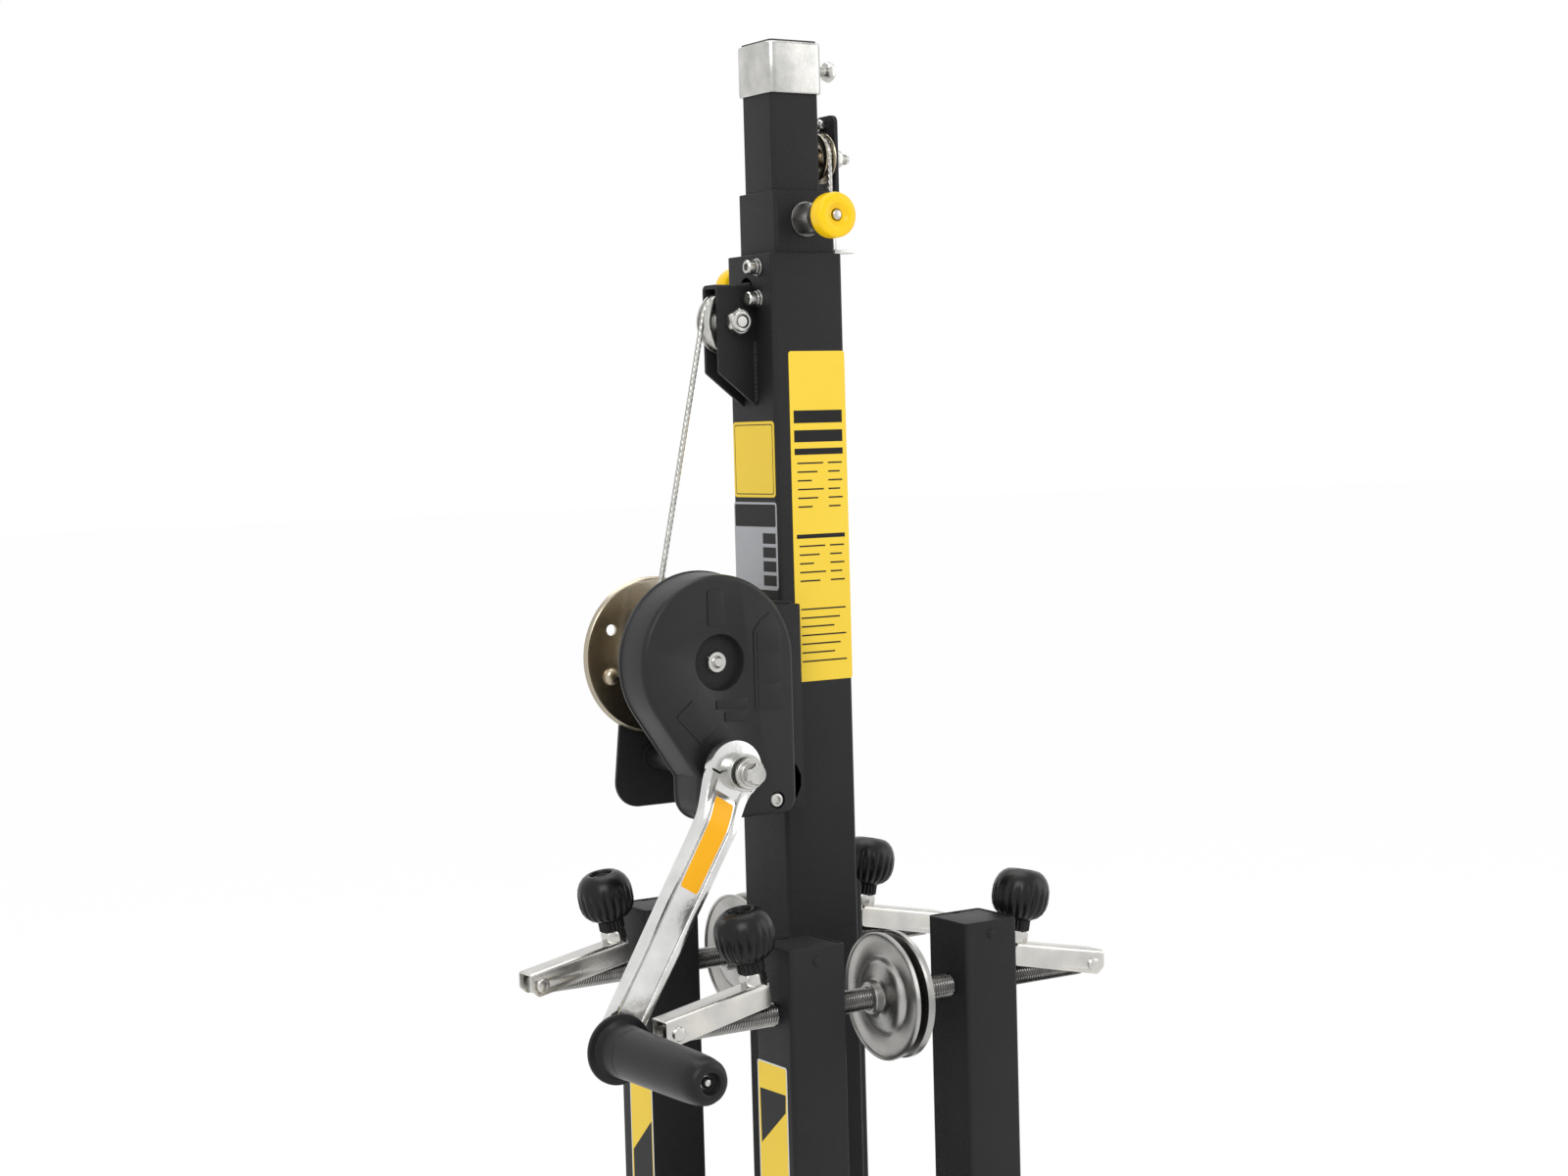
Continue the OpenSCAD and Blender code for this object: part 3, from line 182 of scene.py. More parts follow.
class Shape:
    """A mesh in the making, in millimetres."""

    def __init__(self):
        self.bm = bmesh.new()

    def add(self, points, faces, material=0):
        verts = [self.bm.verts.new(p) for p in points]
        for face in faces:
            made = self.bm.faces.new([verts[i] for i in face])
            made.material_index = material
        return self

    def loft(self, loops, closed=False, material=0):
        """Skin through loops of equally many points; closed joins the last loop to the first."""
        n = len(loops[0])
        points = [p for loop in loops for p in loop]
        faces = []
        spans = len(loops) if closed else len(loops) - 1
        for i in range(spans):
            a, b = i * n, (i + 1) % len(loops) * n
            faces += [(a + k, a + (k + 1) % n, b + (k + 1) % n, b + k) for k in range(n)]
        if not closed:
            faces += [tuple(range(n)), tuple(reversed(range(len(points) - n, len(points))))]
        return self.add(points, faces, material)

    def lathe(self, profile, origin, axis, sides=64, closed=False, material=0):
        """Solid of revolution; profile is a list of (radius, distance along the axis)."""
        loops = [circle(r, h, origin, axis, sides) for r, h in profile]
        return self.loft(loops, closed, material)

    def prism(self, outline, plane, low, high, material=0):
        """Outline drawn in the plane xz, yz or xy, drawn out from low to high."""
        loops = [[place(plane, u, v, h) for u, v in outline] for h in (low, high)]
        return self.loft(loops, False, material)

    def box(self, low, high, material=0):
        outline = [(low[0], low[1]), (high[0], low[1]), (high[0], high[1]), (low[0], high[1])]
        return self.prism(outline, "xy", low[2], high[2], material)

    def fix(self):
        bmesh.ops.recalc_face_normals(self.bm, faces=self.bm.faces)
        return self

    def bevel(self, width, segments=2, angle=40):
        """Rounds the edges sharper than angle."""
        self.fix()
        edges = [e for e in self.bm.edges if len(e.link_faces) == 2
                 and e.calc_face_angle(0) > math.radians(angle)]
        bmesh.ops.bevel(self.bm, geom=edges, offset=width, segments=segments, profile=0.6,
                        affect="EDGES", clamp_overlap=True)
        return self

    def turn(self, angle, axis, centre):
        bmesh.ops.rotate(self.bm, verts=self.bm.verts, cent=Vector(centre),
                         matrix=Matrix.Rotation(math.radians(angle), 3, axis))
        return self

    def join(self, other):
        other.bm.verts.index_update()
        verts = [self.bm.verts.new(v.co) for v in other.bm.verts]
        for face in other.bm.faces:
            made = self.bm.faces.new([verts[v.index] for v in face.verts])
            made.material_index = face.material_index
        return self

    def combine(self, other, operation):
        """Exact union, cut or overlap with another shape."""
        self.fix()
        other.fix()
        a, b = self.to_object("a"), other.to_object("b")
        modifier = a.modifiers.new("boolean", "BOOLEAN")
        modifier.operation, modifier.object, modifier.solver = operation, b, "EXACT"
        bpy.context.view_layer.update()
        result = a.evaluated_get(bpy.context.evaluated_depsgraph_get()).to_mesh()
        merged = bmesh.new()
        merged.from_mesh(result)
        a.evaluated_get(bpy.context.evaluated_depsgraph_get()).to_mesh_clear()
        for obj in (a, b):
            mesh = obj.data
            bpy.data.objects.remove(obj)
            bpy.data.meshes.remove(mesh)
        self.bm = merged
        bmesh.ops.remove_doubles(self.bm, verts=self.bm.verts, dist=0.002)
        return self

    def cut(self, other):
        return self.combine(other, "DIFFERENCE")

    def overlap(self, other):
        return self.combine(other, "INTERSECT")

    def union(self, other):
        return self.combine(other, "UNION")

    def move(self, x, y, z):
        bmesh.ops.translate(self.bm, verts=self.bm.verts, vec=Vector((x, y, z)))
        return self

    def mirror(self, side):
        """Turns a shape drawn for +X into one for -X when side is -1."""
        for vert in self.bm.verts:
            vert.co.x *= side
        return self

    def to_object(self, name):
        mesh = bpy.data.meshes.new(name)
        self.bm.to_mesh(mesh)
        obj = bpy.data.objects.new(name, mesh)
        scene.collection.objects.link(obj)
        return obj


def place(plane, u, v, h):
    """Point of an outline drawn in a plane, h along the plane's normal."""
    return {"xz": (u, h, v), "yz": (h, u, v), "xy": (u, v, h)}[plane]


def along(base, profile, way=1):
    """Profile of (radius, distance) pairs whose distances are counted from base."""
    return [(r, base + way * h) for r, h in profile]


def mirrored(base, far, half):
    """Profile with the same edge at both ends, its distances counted inwards."""
    way = 1 if far > base else -1
    return along(base, half, way) + along(far, list(reversed(half)), -way)


def bar(u0, v0, u1, v1):
    return [(u0, v0), (u1, v0), (u1, v1), (u0, v1)]


def circle(radius, along_axis, origin, axis, sides):
    """Ring of points round an axis x, y or z through origin."""
    points = []
    for k in range(sides):
        a = 2 * math.pi * k / sides
        c, s = radius * math.cos(a), radius * math.sin(a)
        offset = {"x": (along_axis, c, s), "y": (c, along_axis, s), "z": (c, s, along_axis)}[axis]
        points.append(tuple(origin[i] + offset[i] for i in range(3)))
    return points


def fillet(points, steps=6):
    """Outline of corners (x, y, radius) with round corners."""
    out = []
    for i, (x, y, r) in enumerate(points):
        before, after = points[i - 1], points[(i + 1) % len(points)]
        p = Vector((x, y))
        d1 = (Vector(before[:2]) - p).normalized()
        d2 = (Vector(after[:2]) - p).normalized()
        if r <= 0:
            out.append((x, y))
            continue
        half = math.acos(max(-1, min(1, d1.dot(d2)))) / 2
        centre = p + (d1 + d2).normalized() * r / math.sin(half)
        start = p + d1 * r / math.tan(half) - centre
        end = p + d2 * r / math.tan(half) - centre
        a0, a1 = math.atan2(start.y, start.x), math.atan2(end.y, end.x)
        turn = (a1 - a0 + math.pi) % (2 * math.pi) - math.pi
        out += [(centre.x + r * math.cos(a0 + turn * k / steps),
                 centre.y + r * math.sin(a0 + turn * k / steps)) for k in range(steps + 1)]
    return out


def rectangle(u0, v0, u1, v1, r, steps=6):
    return fillet([(u0, v0, r), (u1, v0, r), (u1, v1, r), (u0, v1, r)], steps)


def belt(circles, steps=14):
    """Outline of a belt round circles (x, y, radius), given anticlockwise."""
    def normal(a, b):
        dx, dy = b[0] - a[0], b[1] - a[1]
        return math.atan2(dy, dx) - math.acos((a[2] - b[2]) / math.hypot(dx, dy))
    out = []
    for i, c in enumerate(circles):
        a0 = normal(circles[i - 1], c)
        a1 = normal(c, circles[(i + 1) % len(circles)])
        turn = (a1 - a0) % (2 * math.pi)
        out += [(c[0] + c[2] * math.cos(a0 + turn * k / steps),
                 c[1] + c[2] * math.sin(a0 + turn * k / steps)) for k in range(steps + 1)]
    return out


def resample(points, step):
    """The same path with a point every step or a little less."""
    out = [Vector(points[0])]
    for a, b in zip(points, points[1:]):
        a, b = Vector(a), Vector(b)
        n = max(1, math.ceil((b - a).length / step))
        out += [a.lerp(b, k / n) for k in range(1, n + 1)]
    return out


def rope_loops(path, ref, sides=30, strands=6):
    """Rings of a laid rope: the strands are lobes that turn along the path."""
    loops, run = [], 0.0
    for i, p in enumerate(path):
        t = (path[min(i + 1, len(path) - 1)] - path[max(i - 1, 0)]).normalized()
        b = t.cross(Vector(ref)).normalized()
        c = b.cross(t)
        run += (p - path[i - 1]).length if i else 0
        turn = 2 * math.pi * run / ROPE_LAY
        loop = []
        for k in range(sides):
            a = 2 * math.pi * k / sides
            lobe = abs(math.cos(strands / 2 * (a - turn)))
            r = ROPE_R * (0.76 + 0.24 * lobe ** 0.6)
            loop.append(p + (b * math.cos(a) + c * math.sin(a)) * r)
        loops.append(loop)
    return loops


def piece(name, shape, body, materials, replaces=(), sharp=32):
    """Turns a shape into a finished object that rides on a body."""
    shape.fix()
    for face in shape.bm.faces:
        face.smooth = True
    for vert in shape.bm.verts:
        vert.co *= MM
    obj = shape.to_object(name)
    obj.data.set_sharp_from_angle(angle=math.radians(sharp))
    for m in materials if isinstance(materials, (list, tuple)) else [materials]:
        obj.data.materials.append(m)
    if body:
        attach(obj, body)
    if replaces:
        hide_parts(*replaces)
    return obj


# Materials

def noise(nodes, links, coords, scale, detail):
    texture = nodes.new("ShaderNodeTexNoise")
    texture.inputs["Scale"].default_value = scale
    texture.inputs["Detail"].default_value = detail
    links.new(coords.outputs["Object"], texture.inputs["Vector"])
    return texture


def surface(name, color, other, roughness, spread, patch, grain, depth, metallic=0.0,
            specular=0.5):
    """Finish whose color drifts to other in patches; its grain is a bump of the given depth."""
    mat = bpy.data.materials.new(name)
    mat.use_nodes = True
    nodes, links = mat.node_tree.nodes, mat.node_tree.links
    bsdf = nodes["Principled BSDF"]
    bsdf.inputs["Metallic"].default_value = metallic
    bsdf.inputs["Specular IOR Level"].default_value = specular
    coords = nodes.new("ShaderNodeTexCoord")
    patches = noise(nodes, links, coords, patch, 6)
    ramp = nodes.new("ShaderNodeValToRGB")
    stops = ramp.color_ramp.elements
    for element, place_on_ramp, tone in zip(stops, (0.25, 0.75), (color, other)):
        element.position = place_on_ramp
        element.color = (*tone, 1)
    links.new(patches.outputs["Fac"], ramp.inputs["Fac"])
    links.new(ramp.outputs["Color"], bsdf.inputs["Base Color"])
    rough = nodes.new("ShaderNodeMapRange")
    rough.inputs["To Min"].default_value = roughness - spread
    rough.inputs["To Max"].default_value = roughness + spread
    links.new(patches.outputs["Fac"], rough.inputs["Value"])
    links.new(rough.outputs["Result"], bsdf.inputs["Roughness"])
    fine = noise(nodes, links, coords, grain, 3)
    bump = nodes.new("ShaderNodeBump")
    bump.inputs["Strength"].default_value = 1.0
    bump.inputs["Distance"].default_value = depth * MM
    links.new(fine.outputs["Fac"], bump.inputs["Height"])
    links.new(bump.outputs["Normal"], bsdf.inputs["Normal"])
    return mat


def metal(name, color, other, roughness, spread, patch, grain, depth):
    return surface(name, color, other, roughness, spread, patch, grain, depth, metallic=1)


def grey(level, warmth=0.0):
    return (level, level, level + warmth)


POWDER = surface("powder_coat", grey(0.010, 0.001), grey(0.016, 0.001), 0.46, 0.05, 14, 1100, 0.5,
                 specular=0.20)
ZINC = metal("bright_zinc", (0.40, 0.40, 0.385), (0.66, 0.65, 0.62), 0.26, 0.09, 60, 500, 0.05)
ZINC_THREAD = metal("thread_zinc", (0.26, 0.26, 0.25), (0.46, 0.45, 0.43), 0.24, 0.07, 120, 1500,
                    0.03)
GOLD_ZINC = metal("passivated_zinc", (0.34, 0.31, 0.265), (0.50, 0.43, 0.31), 0.25, 0.08, 28, 400,
                  0.05)
CAST = metal("crank_metal", (0.58, 0.58, 0.57), (0.80, 0.80, 0.79), 0.20, 0.10, 45, 300, 0.12)
ROPE = metal("wire_rope", (0.32, 0.32, 0.30), (0.56, 0.55, 0.52), 0.32, 0.10, 300, 2500, 0.04)
# Dark gear steel; besides the real gear steel parts it also paints shade into the jack screws'
# thread roots and into the crank shaft's neck.
GEAR_STEEL_AND_PAINTED_SHADE = metal("gear_steel", grey(0.10), (0.17, 0.165, 0.16), 0.38, 0.1, 60, 700, 0.1)
SLEEVE = metal("sleeve_steel", (0.15, 0.15, 0.145), (0.24, 0.235, 0.225), 0.42, 0.08, 60, 700, 0.1)
FOOT = metal("foot_zinc", (0.30, 0.30, 0.29), (0.48, 0.47, 0.45), 0.30, 0.09, 50, 500, 0.05)
ARM = metal("arm_zinc", grey(0.46), (0.68, 0.655, 0.60), 0.26, 0.08, 40, 500, 0.05)
PLASTIC = surface("cover_plastic", grey(0.012, 0.001), grey(0.017, 0.001), 0.38, 0.06, 30, 1400,
                  0.12, specular=0.26)
KNOB = surface("knob_plastic", grey(0.005), grey(0.008), 0.30, 0.06, 40, 1000, 0.05, specular=0.26)
GRIP = surface("grip_plastic", grey(0.009, 0.001), grey(0.014, 0.001), 0.36, 0.07, 40, 900, 0.12,
               specular=0.22)
YELLOW = surface("yellow_plastic", (0.92, 0.56, 0.002), (0.96, 0.62, 0.004), 0.28, 0.05, 50, 700,
                 0.05, specular=0.3)
RUBBER = surface("tyre_rubber", grey(0.012), grey(0.020), 0.75, 0.08, 60, 900, 0.3, specular=0.3)
LABEL_YELLOW = surface("label_yellow", (0.86, 0.60, 0.045), (0.89, 0.63, 0.055), 0.42, 0.04, 20,
                       600, 0.02, specular=0.25)
LABEL_BLACK = surface("label_black", grey(0.006), grey(0.010), 0.42, 0.05, 20, 600, 0.02,
                      specular=0.2)
LABEL_GREY = surface("label_grey", (0.34, 0.35, 0.37), (0.42, 0.43, 0.45), 0.35, 0.06, 20, 600,
                     0.02, metallic=0.3)
LABEL_WHITE = surface("label_white", (0.70, 0.70, 0.69), (0.76, 0.76, 0.75), 0.40, 0.05, 20, 600,
                      0.02, specular=0.25)
STICKER = surface("crank_sticker", (0.93, 0.43, 0.004), (0.95, 0.47, 0.006), 0.36, 0.05, 20, 600,
                  0.02, specular=0.25)
SLOTS = {"powder_coat": POWDER, "zinc": ZINC, "passivated_zinc": GOLD_ZINC, "gear_steel": GEAR_STEEL_AND_PAINTED_SHADE,
         "wire_rope": ROPE, "black_plastic": PLASTIC, "grip_plastic": KNOB,
         "yellow_plastic": YELLOW, "tyre_rubber": RUBBER}


def dress_cad():
    """Every CAD node takes the finish of its slot; the nodes that stay in sight keep it."""
    for part in frame["record"]["subparts"]:
        obj = frame["nodes"][part["node"]]
        obj.data.materials.clear()
        obj.data.materials.append(SLOTS[part["material_slot"]])


# Small hardware

def hexagon(af, a):
    """Radius of a hexagon of width af across flats at the angle a."""
    return af / 2 / math.cos((a + math.pi / 6) % (math.pi / 3) - math.pi / 6)


def hex_loop(af, limit, level, origin, axis, sides=72):
    """Ring of a hexagon whose corners are cut at the radius limit."""
    ring = circle(1, 0, (0, 0, 0), axis, sides)
    return [tuple(origin[i] + d[i] * min(limit, hexagon(af, 2 * math.pi * k / sides))
                  + (level if "xyz"[i] == axis else 0) for i in range(3))
            for k, d in enumerate(ring)]


def hex_block(shape, af, start, end, origin, axis, bore=0):
    """Nut or bolt head with chamfered corners, between two places on its axis."""
    s = 1 if end > start else -1
    ease = s * 0.09 * af
    loops = [hex_loop(af, limit, h, origin, axis) for limit, h in
             ((af * 0.49, start), (af, start + ease), (af, end - ease), (af * 0.49, end))]
    if bore:
        loops += [circle(r, h, origin, axis, 72) for r, h in
                  ((bore + 0.4, end), (bore, end - s * 0.5), (bore, start))]
    return shape.loft(loops, closed=bool(bore))


def washer(shape, bore, radius, start, end, origin, axis):
    edge = [(bore, 0), (radius - 0.2, 0), (radius, 0.2)]
    return shape.lathe(mirrored(start, end, edge), origin, axis, 48, True)


def stub(shape, radius, start, end, origin, axis, pitch=1.25):
    """Threaded end, drawn as grooves, with a chamfered tip."""
    s = 1 if end > start else -1
    turns = max(1, int(abs(end - start) / pitch) - 1)
    profile = [(radius - 0.6, start)]
    for k in range(turns):
        profile += [(radius - drop, start + s * pitch * (k + share)) for drop, share in
                    ((0.55, 0.1), (0, 0.45), (0, 0.6), (0.55, 0.95))]
    profile += [(radius - 0.5, end - s * 0.8), (radius - 1.1, end)]
    return shape.lathe(profile, origin, axis, 36)


def socket_screw(shape, origin, head_r, head_h, hex_af):
    """Socket screw with a spring washer and a flat one, head towards -X from origin."""
    washer(shape, 3, 6.2, 0, -1.5, origin, "x")
    washer(shape, 3, 5.4, -1.6, -3.6, origin, "x")
    top = -3.6 - head_h
    loops = [circle(head_r, -3.6, origin, "x", 72), circle(head_r, top + 0.9, origin, "x", 72),
             circle(head_r - 0.7, top, origin, "x", 72),
             hex_loop(hex_af, hex_af, top, origin, "x"),
             hex_loop(hex_af, hex_af, top + head_h * 0.55, origin, "x")]
    shape.loft(loops)
    return shape.lathe([(3, 3), (3, -4)], origin, "x", 32)


def weld(shape, start, end, radius, ref, seed=0.0):
    """Bead of overlapping ripples along a line."""
    path = resample([start, end], 0.8)
    loops = []
    for i, p in enumerate(path):
        t = (path[-1] - path[0]).normalized()
        b = t.cross(Vector(ref)).normalized()
        c = b.cross(t)
        s = i * 0.8
        ends = min(1, (i + 0.6) / 3, (len(path) - i - 0.4) / 3)
        r = radius * ends * (1 + 0.13 * math.cos(2 * math.pi * s / 3.1 + seed)
                             + 0.05 * math.sin(s * 0.83 + seed))
        turns = [2 * math.pi * k / 14 for k in range(14)]
        loops.append([p + (b * math.cos(a) + c * math.sin(a)) * r for a in turns])
    return shape.loft(loops)


# Mast

def square_outline(cx, width, radius, steps=6):
    h = width / 2
    return rectangle(cx - h, -h, cx + h, h, radius, steps)


def square_ring(cx, width, radius, z, steps=6):
    return [(x, y, z) for x, y in square_outline(cx, width, radius, steps)]


def mast_tube(cx, width, z0, z1):
    ease = 0.45
    inside = width - 2 * MAST_WALL
    rows = [(width - 2 * ease, TUBE_CORNER - ease, z0), (width, TUBE_CORNER, z0 + ease),
            (width, TUBE_CORNER, z1 - ease), (width - 2 * ease, TUBE_CORNER - ease, z1),
            (inside, 1.4, z1), (inside, 1.4, z0)]
    return Shape().loft([square_ring(cx, *row) for row in rows], closed=True)


def make_masts():
    y, z = ROPE_Y, TOP_PULLEY.z
    outer = mast_tube(0, 2 * OUTER_FACE, OUTER_LOW.z, OUTER_HIGH.z)
    slot = rectangle(y - SLOT_HALF, z - SLOT_REACH, y + SLOT_HALF, z + SLOT_REACH,
                     SLOT_HALF - 0.01, 10)
    outer.cut(Shape().prism(slot, "yz", -OUTER_FACE - 10, -OUTER_FACE + 8))
    piece("outer_mast_tube", outer, "root", POWDER, ["outer_mast"])
    foot = corners("mid_mast")[0].z
    mid = mast_tube(MID_X, MID_W, foot, MID_TOP)
    right = MID_X + MID_W / 2
    notch = rectangle(MID_WHEEL_R - 3.2, MID_TOP - NOTCH_DROP, MID_WHEEL_R + 3.2, MID_TOP + 9, 1.5)
    mid.cut(Shape().prism(notch, "yz", right - 3, right + 3))
    mid.box((MID_LUG[0], y - 4, foot), (MID_LUG[1], y + 4, foot + FOOT_LUG))
    piece("mid_mast_tube", mid, "mid_section", POWDER, ["mid_mast"])
    low, high = corners("inner_mast")
    inner = mast_tube(0, INNER_W, low.z, high.z)
    plug = Shape().prism(square_outline(0, INNER_W - 2 * MAST_WALL + 0.6, 1.5), "xy",
                         high.z - SPIGOT_DEPTH, high.z - 0.5)
    bore = [(SPIGOT_R, high.z - SPIGOT_DEPTH - 2), (SPIGOT_R, high.z + 2)]
    plug.cut(Shape().lathe(bore, (0, 0, 0), "z", 72))
    inner.join(plug.bevel(0.5, 2, 50))
    inner.box((INNER_LUG[0], MID_WHEEL_R - 3, low.z),
              (INNER_LUG[1], MID_WHEEL_R + 3, low.z + FOOT_LUG))
    piece("inner_mast_tube", inner, "inner_section", POWDER, ["inner_mast"])


def make_collar():
    low, high = corners("top_collar")
    w = high.y - low.y + 1.4
    rows = [(INNER_W + 0.1, 3.2, low.z), (w - 1.4, 5.0, low.z), (w - 0.3, 5.6, low.z + 0.6),
            (w, 5.8, low.z + 1.6), (w, 5.8, high.z - 2.2), (w - 0.5, 5.6, high.z - 0.9),
            (w - 1.8, 5.2, high.z - 0.2), (w - 3.0, 4.6, high.z), (INNER_W + 0.1, 3.2, high.z)]
    collar = Shape().loft([square_ring(0, *row, 10) for row in rows], closed=True)
    face = high.y
    bolt = (0, 0, high.z - 16.5)
    hex_block(collar, M8_HEX, face + 0.05, face + 5, bolt, "x", 4.0)
    stub(collar, 4.0, 18.1, face + 17, bolt, "x")
    hex_block(collar, M8_HEX, face + 17, face + 22.5, bolt, "x")
    piece("collar_sleeve", collar, "inner_section", ZINC, ["top_collar"])


def make_lock(name, sleeve_body, x, face, side):
    """Hexagonal sleeve with a jam nut, and the yellow knob on its pin; side is the way out."""
    node = name + "_plunger"
    origin = (x, 0, middle(node).z)
    sleeve = Shape()
    washer(sleeve, 4.05, 12.5, face, face + side * 1.6, origin, "y")
    hex_block(sleeve, 21, face + side * 1.6, face + side * 17.5, origin, "y", 4.1)
    hex_block(sleeve, 17, face + side * 18.0, face + side * 23.6, origin, "y", 4.1)
    sleeve.turn(30, "Y", origin)
    piece(name + "_sleeve_hex", sleeve, sleeve_body, SLEEVE, [name + "_sleeve"])
    low, high = corners(node)
    tip, out = (low.y, high.y) if side > 0 else (high.y, low.y)
    knob = Shape()
    knob.lathe(along(out, [
        (4.1, 14), (12.5, 14), (14.6, 13.4), (15.7, 12), (16, 10.2), (16, 3.4), (15.6, 1.7),
        (14.6, 0.6), (13, 0.1), (9.0, 0), (8.2, 0.3), (7.4, 1.2), (5.2, 2.1), (4.6, 2.4),
        (4.6, 4.5)], -side), origin, "y", 72)
    head = along(out, [(4.0, 13), (3.9, 2.4), (3.4, 1.2), (2.4, 0.5), (1.2, 0.3)], -side)
    knob.lathe([(3.2, tip), (4.0, tip + side * 1.2)] + head, origin, "y", 40, False, 1)
    piece(name + "_pull", knob, name, [YELLOW, ZINC], [node])


def make_pulley_bracket():
    low, high = corners("pulley_bracket")
    foot, roof, near, far = low.z, high.z, low.y, high.y
    wall, bend = 3, 4.0
    channel = fillet([(near, foot, 0), (near, roof, bend), (far, roof, bend), (far, foot, 0),
                      (far - wall, foot, 0), (far - wall, roof - wall, 1.2),
                      (near + wall, roof - wall, 1.2), (near + wall, foot, 0)], 5)
    body = Shape().prism(channel, "yz", low.x - 1, -OUTER_FACE)
    side = fillet([(1 - OUTER_FACE, foot + 1, 0), (1 - OUTER_FACE, roof + 1, 0),
                   (low.x, roof + 1, 0), (low.x, foot + 26, 2.5)], 6)
    body.overlap(Shape().prism(side, "xz", near - 2, far + 2))
    body.bevel(0.5, 2, 50)
    seam = -OUTER_FACE - 0.2
    for y in (near, far):
        weld(body, (seam, y, foot + 3), (seam, y, foot + 49), 2.3, (1, 0, 0), y)
    weld(body, (seam, near + 4, roof + 0.2), (seam, far - 4, roof + 0.2), 1.7, (1, 0, 0))
    piece("bracket_cheeks", body, "root", POWDER, ["pulley_bracket"])


def sheave(centre, axis, rim, groove, bore, half, side):
    """Turned rope wheel with a rounded groove and a stepped hub."""
    face = [(bore, -half), (groove - 6, -half), (groove - 5.6, 0.4 - half),
            (groove - 5.4, 1.2 - side), (groove - 2.5, 0.9 - side), (groove - 1, -side),
            (rim - 0.9, -side), (rim - 0.25, 0.3 - side), (rim, 0.9 - side),
            (rim - 0.3, 1.4 - side)]
    depth = rim - groove - 0.6
    channel = []
    for k in range(9):
        a = math.pi * k / 8
        channel.append((rim - 0.6 - depth * math.sin(a) ** 0.7, -(side - 1.5) * math.cos(a)))
    profile = face + channel + [(r, -h) for r, h in reversed(face)]
    return Shape().lathe(profile, tuple(centre), axis, 96, True)


def make_pulleys():
    wheel = sheave(TOP_PULLEY, "y", 22.9, TOP_WHEEL_R - 2.05, 5.05, 7.0, 6.0)
    piece("top_pulley_wheel", wheel, "top_pulley", ZINC, ["top_pulley"])
    wheel = sheave(MID_PULLEY, "x", 18, MID_WHEEL_R - 2.05, 4.05, 5.0, 4.4)
    piece("mid_pulley_wheel", wheel, "mid_pulley", GOLD_ZINC, ["mid_pulley"])


def make_mast_hardware():
    """Pad screws, winch bolts, and the upper pulley's axle bolt."""
    low, high = corners("pulley_bracket")
    near, far = low.y, high.y
    shape = Shape()
    for drop in PAD_SCREW_DROPS:
        socket_screw(shape, (-OUTER_FACE, near - 6.5, OUTER_HIGH.z - drop), 5.0, 6.6, 5.0)
    seat = -OUTER_FACE - WINCH_WEB
    for y in (-WINCH_BOLT_Y, WINCH_BOLT_Y):
        for rise in WINCH_BOLT_RISES:
            hex_block(shape, M8_HEX, seat, seat - 5.2, (0, y, DRUM_AXIS.z + rise), "x")
    axle = (TOP_PULLEY.x, 0, TOP_PULLEY.z)
    hex_block(shape, M10_HEX, near, near - 7.6, axle, "y", 5.0)
    shape.lathe(along(near, [(5, -6), (7.6, -6), (7.6, -9.4), (7.0, -10.4), (6.0, -10.7),
                             (5, -10.4)]), axle, "y", 60, True)
    stub(shape, 4.9, near, near - 9.6, axle, "y", 1.5)
    shape.lathe([(5, near), (5, far + 1)], axle, "y", 40)
    hex_block(shape, M10_HEX, far, far + 6.4, axle, "y")
    piece("mast_bolts", shape, "root", ZINC, ["mast_screws"])


def make_anchor():
    high = corners("rope_anchor")[1]
    y, top = -MID_WHEEL_R, OUTER_HIGH.z + 3.7
    face = OUTER_FACE
    side = fillet([(face, top - 26, 0), (face + 3, top - 26, 0), (face + 3, top - 3, 2),
                   (high.x, top - 3, 0), (high.x, top, 0), (face, top, 3)], 5)
    shape = Shape().prism(side, "xz", y - 6, y + 6).bevel(0.4, 2, 45)
    shape.lathe(along(top, [(2, -1), (3.4, -1), (3.6, 0), (3.6, 7.6), (3.2, 8.6), (2.1, 9)]),
                (MID_PULLEY.x, y, 0), "z", 40)
    piece("rope_anchor_lug", shape, "root", ZINC, ["rope_anchor"])


def make_mid_bracket():
    low, high = corners("mid_pulley_bracket")
    x1, x0 = high.x, high.x - 3
    strap = Shape().prism(rectangle(-12, low.z, 12, high.z, 5.5, 8), "yz", x0, x1)
    angle = fillet([(low.x, low.z, 0), (x1, low.z, 3.6), (x1, low.z + 8, 0), (x0, low.z + 8, 0),
                    (x0, low.z + 3, 0.8), (low.x, low.z + 3, 0)], 5)
    strap.union(Shape().prism(angle, "xz", -12, 12))
    strap.bevel(0.45, 2, 45)
    weld(strap, (low.x + 0.3, -11, low.z), (low.x + 0.3, 11, low.z), 1.8, (0, 0, 1))
    piece("mid_strap", strap, "mid_section", POWDER, ["mid_pulley_bracket"])
    bolts = Shape()
    axle = (0, MID_PULLEY.y, MID_PULLEY.z)
    inner = MID_PULLEY.x - 5.4
    bolts.lathe([(4, inner - 0.2), (4, x1 + 1)], axle, "x", 40)
    stub(bolts, 4, x1, x1 + 16, axle, "x")
    hex_block(bolts, M8_HEX, inner - 4.0, inner, axle, "x")
    washer(bolts, 4, 7.6, x1, x1 + 1.2, axle, "x")
    hex_block(bolts, M8_HEX, x1 + 1.2, x1 + 8, axle, "x", 4)
    keeper = (0, 3, MID_PULLEY.z + 24)
    bolts.lathe([(2.4, 22), (3, 22.6), (3, x1 + 1)], keeper, "x", 32)
    bolts.lathe([(5, x1), (5, x1 + 1.0), (4.2, x1 + 1.9), (2.5, x1 + 2)], keeper, "x", 40)
    hex_block(bolts, M5_HEX, x0 - 4, x0, keeper, "x", 3)
    piece("mid_pulley_hardware", bolts, "mid_section", ZINC, ["mid_pulley_bolts"])


# Ropes

